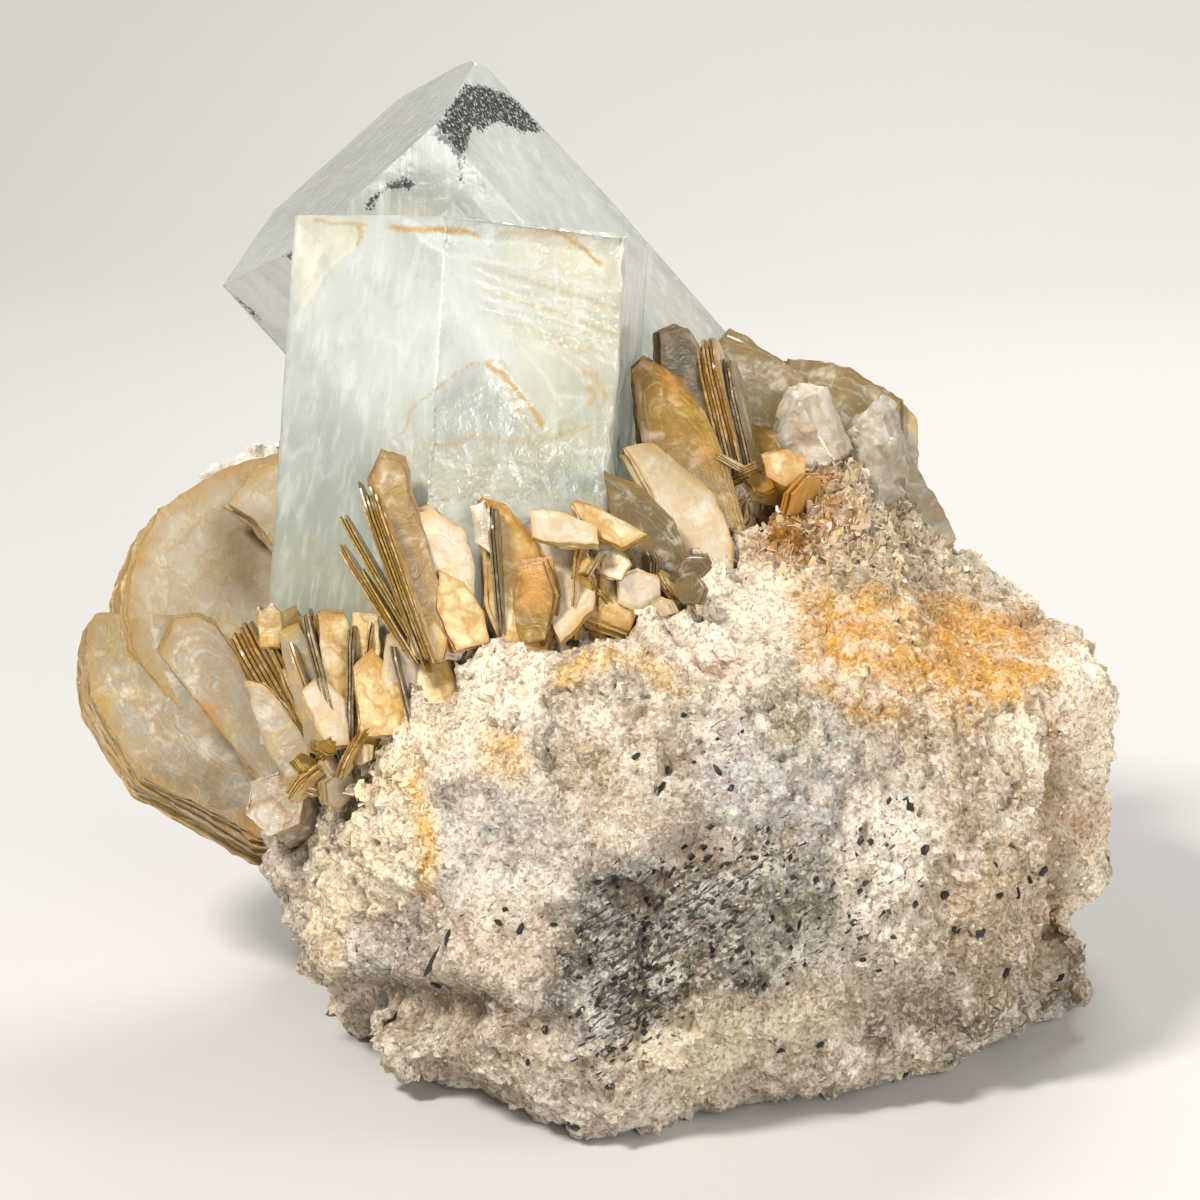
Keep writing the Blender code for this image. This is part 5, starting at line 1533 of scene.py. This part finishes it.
shown_book(
    "mica_ridge", "mica_slabs_ridge",
    [
        facing(RIDGE[0], 20.0, (0.2, 0.1), 3.4, RIDGE_MICA, 68, shrink=0.1, ragged=1.4),
        facing(RIDGE[1], 24.5, (0.15, 0.15), 4.2, RIDGE_MICA, 69, shrink=0.1, ragged=1.6),
        facing(RIDGE[2], 25.5, (0.1, 0.2), 4.0, GREY_MICA, 70, shrink=0.1, ragged=1.6),
    ],
)

# %% [markdown]
# ### Broken plates thrown together
# Between the larger books the mica is broken: small plates lie at every angle. A fixed list of
# random numbers gives each its size and its turn.


# %% Jumbles of small plates
def jumble(name, node, middle, spread, count, sizes, seed, finishes):
    """Small six-sided books at all angles round a place."""
    draw = random.Random(seed)
    parts = []
    for index in range(count):
        turn = (
            Matrix.Rotation(draw.uniform(0.0, math.tau), 3, "Y")
            @ Matrix.Rotation(draw.uniform(0.0, math.pi), 3, "Z")
            @ Matrix.Rotation(draw.uniform(0.5, 1.5), 3, "X")
        )
        size = draw.uniform(*sizes)
        outline = [
            (size * draw.uniform(0.8, 1.1) * math.cos(math.radians(60 * k)),
             size * draw.uniform(1.0, 1.5) * math.sin(math.radians(60 * k)))
            for k in range(6)
        ]
        centre = [value + draw.uniform(-0.5, 0.5) * width for value, width in zip(middle, spread)]
        parts.append(
            book(outline, centre, turn.col[0], turn.col[1], draw.uniform(0.5, 1.1),
                 finishes[index % len(finishes)], seed + index, shrink=0.25, ragged=0.8, pitch=0.24)
        )
    return shown_book(name, node, parts)


jumble("mica_scraps_left", "mica_jumble_left", (-22.5, -15.2, -16.5), (8.0, 4.6, 5.0), 16, (1.0, 2.3), 5,
       (GOLD_MICA, AMBER_MICA, CREAM_MICA))
jumble("mica_scraps_centre", "mica_jumble_centre", (3.4, 1.6, -13.5), (11.0, 5.0, 6.0), 20, (1.1, 2.6), 12,
       (GOLD_MICA, CREAM_MICA, DIM_MICA))
jumble("mica_scraps_upper", "mica_jumble_upper", (15.2, 8.4, -0.5), (8.0, 8.0, 7.0), 22, (1.0, 2.4), 31,
       (AMBER_MICA, GOLD_MICA, DIM_MICA, CREAM_MICA))

# %% [markdown]
# ## Quartz, the small crystal and the albite
# These four solids get the same treatment as the prisms: their faces are divided, then broken by
# small flat facets, and the edges worn.


# %% Small stones
def worn_stone(name, node, finish, seed, cell=0.5, depth=0.35, step=2.2):
    """A divided copy of a solid with broken faces and worn edges."""
    stone = object_from(name, refined(merged_copy(node), lambda edge: cell * MM))
    places, normals = places_of(stone.data)
    lift = facets(places, step, 0.8, 0.5, seed) * depth
    lift += facets(places, step * 0.45, 0.6, 0.3, seed + 20) * depth * 0.6
    lift += 0.25 * depth * clouds(places, 0.9, seed + 40, 2)
    lift -= 0.2 + np.clip(cloud(places, 1.6, seed + 50) - 0.3, 0.0, 1.0) * depth
    set_places(stone.data, places + normals * lift[:, None])
    stone.data.materials.append(finish)
    smooth(stone, 25)
    return finished(stone, [node])


def cloudy(name, tone, light, seam, clear, strength=0.5):
    """A cloudy stone: its tone, its light veils and the stain in its seams."""
    made, tree, surface, place = new_finish(name)
    mist, fine = [
        add(
            tree, "ShaderNodeTexNoise",
            {"Vector": place, "Scale": per_mm(size), "Detail": 4.0, "Roughness": 0.7, "Distortion": 0.6},
        ).outputs["Fac"]
        for size in (2.6, 0.6)
    ]
    cracks = add(
        tree, "ShaderNodeTexVoronoi", {"Vector": place, "Scale": per_mm(3.4)}, feature="DISTANCE_TO_EDGE"
    ).outputs["Distance"]
    maps = [
        add(
            tree, "ShaderNodeMapRange",
            {"Value": value, "From Min": start, "From Max": end, "To Min": 0.0, "To Max": most},
        ).outputs[0]
        for value, start, end, most in (
            (mist, 0.45, 0.6, 0.9), (fine, 0.56, 0.66, 0.6), (cracks, 0.12, 0.0, strength),
            (mist, 0.4, 0.28, strength),
        )
    ]
    colour = laid_over(tree, maps[0], light, tone)
    colour = laid_over(tree, maps[1], "#fbf6ec", colour)
    colour = laid_over(tree, maps[2], seam, colour)
    colour = laid_over(tree, maps[3], seam, colour)
    tree.links.new(colour, surface.inputs["Base Color"])
    relief = add(tree, "ShaderNodeBump", {"Height": fine, "Strength": 0.5, "Distance": 0.3 * MM}).outputs[0]
    tree.links.new(relief, surface.inputs["Normal"])
    surface.inputs["Roughness"].default_value = 0.28
    surface.inputs["Transmission Weight"].default_value = clear
    surface.inputs["IOR"].default_value = 1.54
    return made


worn_stone("cloudy_quartz", "quartz_crystal_cloudy",
           cloudy("quartz_cloudy", "#ece2ce", "#fbf4e6", "#d9a860", 0.5, 0.4), 201, depth=0.5, step=3.4)
worn_stone("smoky_quartz", "quartz_crystal_smoky",
           cloudy("quartz_smoky", "#cfc4ae", "#efe7d8", "#b39a6c", 0.5, 0.4), 202, depth=0.6, step=3.0)
worn_stone("small_six_sided_crystal", "small_hex_crystal",
           cloudy("glassy_pale_crystal", "#d8c8ab", "#f4ead6", "#b9803c", 0.5, 0.7), 203, 0.35, 0.28, 1.6)
worn_stone("white_albite_blade", "albite_blade_left",
           cloudy("albite_white", "#e6dfd2", "#f7f3ea", "#cdbb98", 0.0, 0.3), 204, 0.6, 0.8, 2.4)

# %% [markdown]
# ## Scraps, crumbs and needles on the rock
# What is too small for the solids is strewn over the rock by one node tree: mica scraps round the
# foot of the books, crumbs of feldspar everywhere, and black needles of tourmaline along the dark
# band. Each kind has its own zone, painted on the rock as a number that sets its density.


# %% Where they lie
FLAKY = (
    (marks((300, 740), (335, 712), (395, 730), (402, 790), (335, 802)), 1.0),
    (marks((350, 640), (420, 612), (480, 640), (440, 676), (370, 690)), 0.5),
    (marks((500, 596), (560, 572), (700, 540), (740, 556), (700, 585), (600, 610), (510, 622)), 0.35),
    (marks((745, 465), (840, 455), (850, 550), (765, 560)), 1.0),
    (marks((830, 395), (960, 400), (1000, 560), (880, 570), (825, 520)), 0.8),
)
places, normals = places_of(rock.data)
where, behind = as_seen(places)
off_floor = np.clip((places[:, 2] - 1.5) / 1.5, 0.0, 1.0)
near_front = np.clip((30.0 - behind) / 10.0, 0.0, 1.0)
store(rock.data, "flaky", strongest(where, FLAKY, 2.5) * near_front * off_floor)
store(rock.data, "crumbly", (0.2 + 0.8 * rock_masks["pale"]) * (1.0 - 0.8 * dark) * off_floor)
store(rock.data, "needled", np.clip(dark - 0.25, 0.0, 1.0) * near_front * off_floor)


# %% [markdown]
# The tree strews points on the surface, sets a piece on each, turned and sized by chance, and
# makes them real. The painted colour of the rock goes with each point, so crumbs match the zone
# that they lie on.


# %% The scatter as a node tree
def strewing_tree():
    tree = bpy.data.node_groups.new("strewn pieces", "GeometryNodeTree")
    inputs = named_inputs(
        tree,
        (
            ("Rock", "NodeSocketGeometry"), ("Piece", "NodeSocketObject"), ("Zone", "NodeSocketString"),
            ("Number for a square metre", "NodeSocketFloat"), ("Least size", "NodeSocketVector"),
            ("Most size", "NodeSocketVector"), ("Turn", "NodeSocketVector"), ("Seed", "NodeSocketInt"),
            ("Finish", "NodeSocketMaterial"),
        ),
    )
    given = tree.nodes.new("NodeGroupInput").outputs
    share = add(
        tree, "GeometryNodeInputNamedAttribute", {"Name": given["Zone"]}, data_type="FLOAT"
    ).outputs[0]
    density = add(
        tree, "ShaderNodeMath", {0: share, 1: given["Number for a square metre"]}, operation="MULTIPLY"
    ).outputs[0]
    points = add(
        tree, "GeometryNodeDistributePointsOnFaces",
        {"Mesh": given["Rock"], "Density": density, "Seed": given["Seed"]},
    ).outputs["Points"]
    back = add(tree, "ShaderNodeVectorMath", {0: given["Turn"], "Scale": -1.0}, operation="SCALE").outputs[0]
    turn, size = [
        add(
            tree, "FunctionNodeRandomValue", {0: low, 1: high, "Seed": given["Seed"]},
            data_type="FLOAT_VECTOR",
        ).outputs[0]
        for low, high in ((back, given["Turn"]), (given["Least size"], given["Most size"]))
    ]
    piece = add(tree, "GeometryNodeObjectInfo", {"Object": given["Piece"]}).outputs["Geometry"]
    strewn = add(
        tree, "GeometryNodeInstanceOnPoints",
        {"Points": points, "Instance": piece, "Rotation": turn, "Scale": size},
    ).outputs[0]
    chance = add(
        tree, "FunctionNodeRandomValue", {2: 0.0, 3: 1.0, "Seed": given["Seed"]}, data_type="FLOAT"
    ).outputs[1]
    strewn = add(
        tree, "GeometryNodeStoreNamedAttribute",
        {"Geometry": strewn, "Name": "own", "Value": chance}, data_type="FLOAT", domain="INSTANCE",
    ).outputs[0]
    real = add(tree, "GeometryNodeRealizeInstances", {"Geometry": strewn}).outputs[0]
    done = add(
        tree, "GeometryNodeSetMaterial", {"Geometry": real, "Material": given["Finish"]}
    ).outputs[0]
    add(tree, "NodeGroupOutput", {0: done})
    return tree, inputs


STREWN, STREWN_INPUTS = strewing_tree()


def piece_object(name, build, spoil=0.0, turn=None):
    """A small source piece in metres, made by one bmesh call and spoiled a little."""
    work = bmesh.new()
    build(work)
    for index, vertex in enumerate(work.verts):
        vertex.co *= 1.0 + spoil * (cell_number(np.array([[index, 3, 7]]), 99)[0] - 0.5)
    if turn is not None:
        bmesh.ops.transform(work, matrix=turn, verts=work.verts)
    return object_from(name, work)


def strewn(name, piece, zone_name, number, least, most, turn, seed, finish, slot):
    obj = bpy.data.objects.new(name, rock.data.copy())
    bpy.context.scene.collection.objects.link(obj)
    set_inputs(
        obj, STREWN, STREWN_INPUTS,
        {"Piece": piece, "Zone": zone_name, "Number for a square metre": number, "Least size": least,
         "Most size": most, "Turn": turn, "Seed": seed, "Finish": finish},
    )
    bpy.data.objects.remove(piece)
    return finished(obj, ())


# %% Scraps, crumbs and needles
def tinted_finish(name, roughness, deep, light, most):
    """A plain finish in the rock's painted colour, a little deeper or lighter in each piece."""
    made, tree, surface, _ = new_finish(name)
    tone, own = [
        add(tree, "ShaderNodeAttribute", attribute_name=key).outputs[output]
        for key, output in (("tone", "Color"), ("own", "Fac"))
    ]
    less, more = [
        add(
            tree, "ShaderNodeMapRange",
            {"Value": own, "From Min": start, "From Max": end, "To Min": 0.0, "To Max": most},
        ).outputs[0]
        for start, end in ((0.5, 0.0), (0.55, 1.0))
    ]
    colour = laid_over(tree, less, deep, tone)
    tree.links.new(laid_over(tree, more, light, colour), surface.inputs["Base Color"])
    surface.inputs["Roughness"].default_value = roughness
    return made


TOURMALINE = new_finish("tourmaline_black")[0]
black_surface = TOURMALINE.node_tree.nodes["Principled BSDF"]
black_surface.inputs["Base Color"].default_value = paint("#1f1c1b")
black_surface.inputs["Roughness"].default_value = 0.35
along_band = Vector(BAND).to_track_quat("Z", "Y").to_matrix().to_4x4()
scrap = piece_object(
    "scrap", lambda work: bmesh.ops.create_cone(
        work, cap_ends=True, segments=6, radius1=0.5 * MM, radius2=0.5 * MM, depth=0.09 * MM), 0.5)
crumb = piece_object(
    "crumb", lambda work: bmesh.ops.create_icosphere(work, subdivisions=1, radius=0.5 * MM), 0.7)
needle = piece_object(
    "needle", lambda work: bmesh.ops.create_cone(
        work, cap_ends=True, segments=5, radius1=0.5 * MM, radius2=0.4 * MM, depth=1.0 * MM), 0.2, along_band)
strewn("mica_scraps", scrap, "flaky", 3.6e6, (0.4, 0.3, 0.8), (1.9, 0.9, 1.2), (3.1, 3.1, 3.1), 401,
       tinted_finish("mica_scraps_golden", 0.3, "#7a5a24", "#dcc894", 0.7), "muscovite")
strewn("feldspar_crumbs", crumb, "crumbly", 4.0e5, (0.25, 0.25, 0.25), (0.8, 0.7, 0.7), (3.1, 3.1, 3.1), 402,
       tinted_finish("feldspar_crumbs", 0.6, "#b09a78", "#f6ecd8", 0.35), "feldspar_rock")
strewn("tourmaline_needles", needle, "needled", 5.0e5, (0.25, 0.25, 0.25), (0.7, 0.7, 0.7), (0.25, 0.25, 0.25),
       403, TOURMALINE, "feldspar_rock")

# %% [markdown]
# The larger black grains are few and stand at known places, so each is put where a line from the
# eye through its place in the picture meets the rock.

# %% Black grains at given places
BLACK_GRAINS = (
    # pixel across and down, length and width in millimetres, turn in degrees
    (1043, 872, 1.3, 0.7, 60), (1030, 880, 0.8, 0.4, 100), (1018, 893, 1.0, 0.5, 70),
    (1000, 895, 0.9, 0.5, 20), (945, 895, 0.9, 0.7, 40), (955, 930, 1.0, 0.9, 10),
    (980, 932, 1.1, 0.9, 80), (1005, 975, 1.8, 0.6, 65), (1060, 978, 1.2, 0.6, 80),
    (995, 865, 0.6, 0.3, 120), (572, 1126, 1.3, 0.9, 10), (610, 1086, 1.1, 0.7, 20),
    (433, 962, 3.2, 0.3, 84), (436, 985, 1.4, 0.5, 110), (448, 937, 1.9, 0.5, 60), (520, 929, 1.2, 0.6, 70),
    (498, 922, 0.7, 0.4, 130), (660, 790, 2.2, 0.6, 80), (667, 770, 1.0, 0.4, 60), (636, 756, 0.8, 0.5, 30),
    (910, 806, 1.4, 0.8, 100), (925, 850, 1.0, 0.7, 60), (718, 770, 1.4, 0.5, 120), (731, 788, 0.8, 0.5, 70),
    (545, 1030, 0.9, 0.6, 70), (580, 1012, 1.1, 0.5, 50), (600, 1000, 1.4, 0.4, 45), (612, 985, 1.2, 0.4, 50),
    (528, 1062, 0.8, 0.5, 60), (690, 868, 1.5, 0.4, 30), (706, 860, 1.8, 0.4, 28), (660, 905, 1.6, 0.4, 35),
    (640, 925, 1.3, 0.4, 40), (820, 1045, 0.9, 0.5, 20), (905, 1075, 0.8, 0.5, 20), (780, 1050, 0.8, 0.6, 0),
)


def black_grains():
    surface = BVHTree.FromPolygons(
        [vertex.co for vertex in rock.data.vertices], [face.vertices for face in rock.data.polygons]
    )
    eye = Vector((LOOKED_AT - BEHIND * EYE_DISTANCE) * MM)
    work = bmesh.new()
    for number, (x, y, length, width, degrees) in enumerate(BLACK_GRAINS):
        aim = Vector(spot(np.array([[*marks((x, y))[0], 0.0]]))[0] * MM) - eye
        hit, normal, _, _ = surface.ray_cast(eye, aim.normalized())
        if hit is None:
            continue
        angle = math.radians(degrees)
        run = Vector(math.cos(angle) * ACROSS + math.sin(angle) * UP)
        run = (run - normal * run.dot(normal)).normalized()
        turn = Matrix((normal.cross(run), run, normal)).transposed().to_4x4()
        made = bmesh.ops.create_icosphere(work, subdivisions=1, radius=0.5 * MM)["verts"]
        for index, vertex in enumerate(made):
            x_size, y_size = width * 1.1, length * 1.1
            spoil = 0.75 + 0.5 * cell_number(np.array([[index, number, 5]]), 98)[0]
            vertex.co = Vector((vertex.co.x * x_size, vertex.co.y * y_size, vertex.co.z * 0.6)) * spoil
            vertex.co = turn @ vertex.co + hit
    obj = object_from("tourmaline_grains", work)
    obj.data.materials.append(TOURMALINE)
    return finished(obj, ())


black_grains()

# %% [markdown]
# ## The studio
# A pale floor that curves up behind, one large soft light from the upper left, a weaker one from
# the right and a rim light from behind, which makes the crystals glow. The camera stands where
# the display side is looked at from.


# %% Floor
def studio_floor():
    points, faces = [], []
    rows = [(-0.9, 0.0), (0.35, 0.0)]
    for step in range(1, 13):
        turn = math.radians(90 * step / 12)
        rows.append((0.35 + 0.25 * math.sin(turn), 0.25 * (1.0 - math.cos(turn))))
    rows.append((0.6, 1.2))
    for y, z in rows:
        points += [(-1.3, y, z), (1.3, y, z)]
    for row in range(len(rows) - 1):
        start = 2 * row
        faces.append((start, start + 1, start + 3, start + 2))
    mesh = bpy.data.meshes.new("floor")
    mesh.from_pydata(points, [], faces)
    mesh.shade_smooth()
    obj = bpy.data.objects.new("floor", mesh)
    bpy.context.scene.collection.objects.link(obj)
    made, tree, surface, place = new_finish("floor_paper")
    surface.inputs["Base Color"].default_value = paint("#cbc9c6")
    surface.inputs["Roughness"].default_value = 0.9
    mesh.materials.append(made)
    return obj


floor = studio_floor()
print("floor points:", len(floor.data.vertices))


# %% Lights
def soft_light(name, place, size, power, colour="#ffffff"):
    light = bpy.data.lights.new(name, "AREA")
    light.shape = "DISK"
    light.size = size
    light.energy = power
    light.color = paint(colour)[:3]
    obj = bpy.data.objects.new(name, light)
    obj.location = place
    aim = Vector((0.0, 0.0, 0.04)) - obj.location
    obj.rotation_euler = aim.to_track_quat("-Z", "Y").to_euler()
    bpy.context.scene.collection.objects.link(obj)
    return obj


soft_light("key_upper_left", (-0.25, -0.30, 0.46), 0.12, 3.7, "#fffaf2")
soft_light("fill_front_right", (0.20, -0.62, 0.16), 0.36, 2.4, "#fbfaf8")
soft_light("side_right", (0.60, -0.16, 0.28), 0.30, 1.4, "#fffaf4")
soft_light("rim_behind", (0.12, 0.34, 0.36), 0.25, 1.5)
world = bpy.data.worlds.new("studio")
bpy.context.scene.world = world
world.use_nodes = True
world.node_tree.nodes["Background"].inputs["Color"].default_value = paint("#eef1f4")
world.node_tree.nodes["Background"].inputs["Strength"].default_value = 0.25
bpy.context.scene.view_settings.view_transform = "Standard"

# %% Camera
camera = bpy.data.cameras.new("display_side")
camera.sensor_width = 36.0
camera.lens = 36.0 * EYE_DISTANCE / (1200 * PIXEL_MM)
camera.clip_start, camera.clip_end = 0.01, 10.0
viewer = bpy.data.objects.new("display_side", camera)
viewer.location = (LOOKED_AT - BEHIND * EYE_DISTANCE) * MM
viewer.rotation_euler = Vector(BEHIND).to_track_quat("-Z", "Y").to_euler()
bpy.context.scene.collection.objects.link(viewer)
bpy.context.scene.camera = viewer
print("camera lens:", round(camera.lens, 1), "mm")
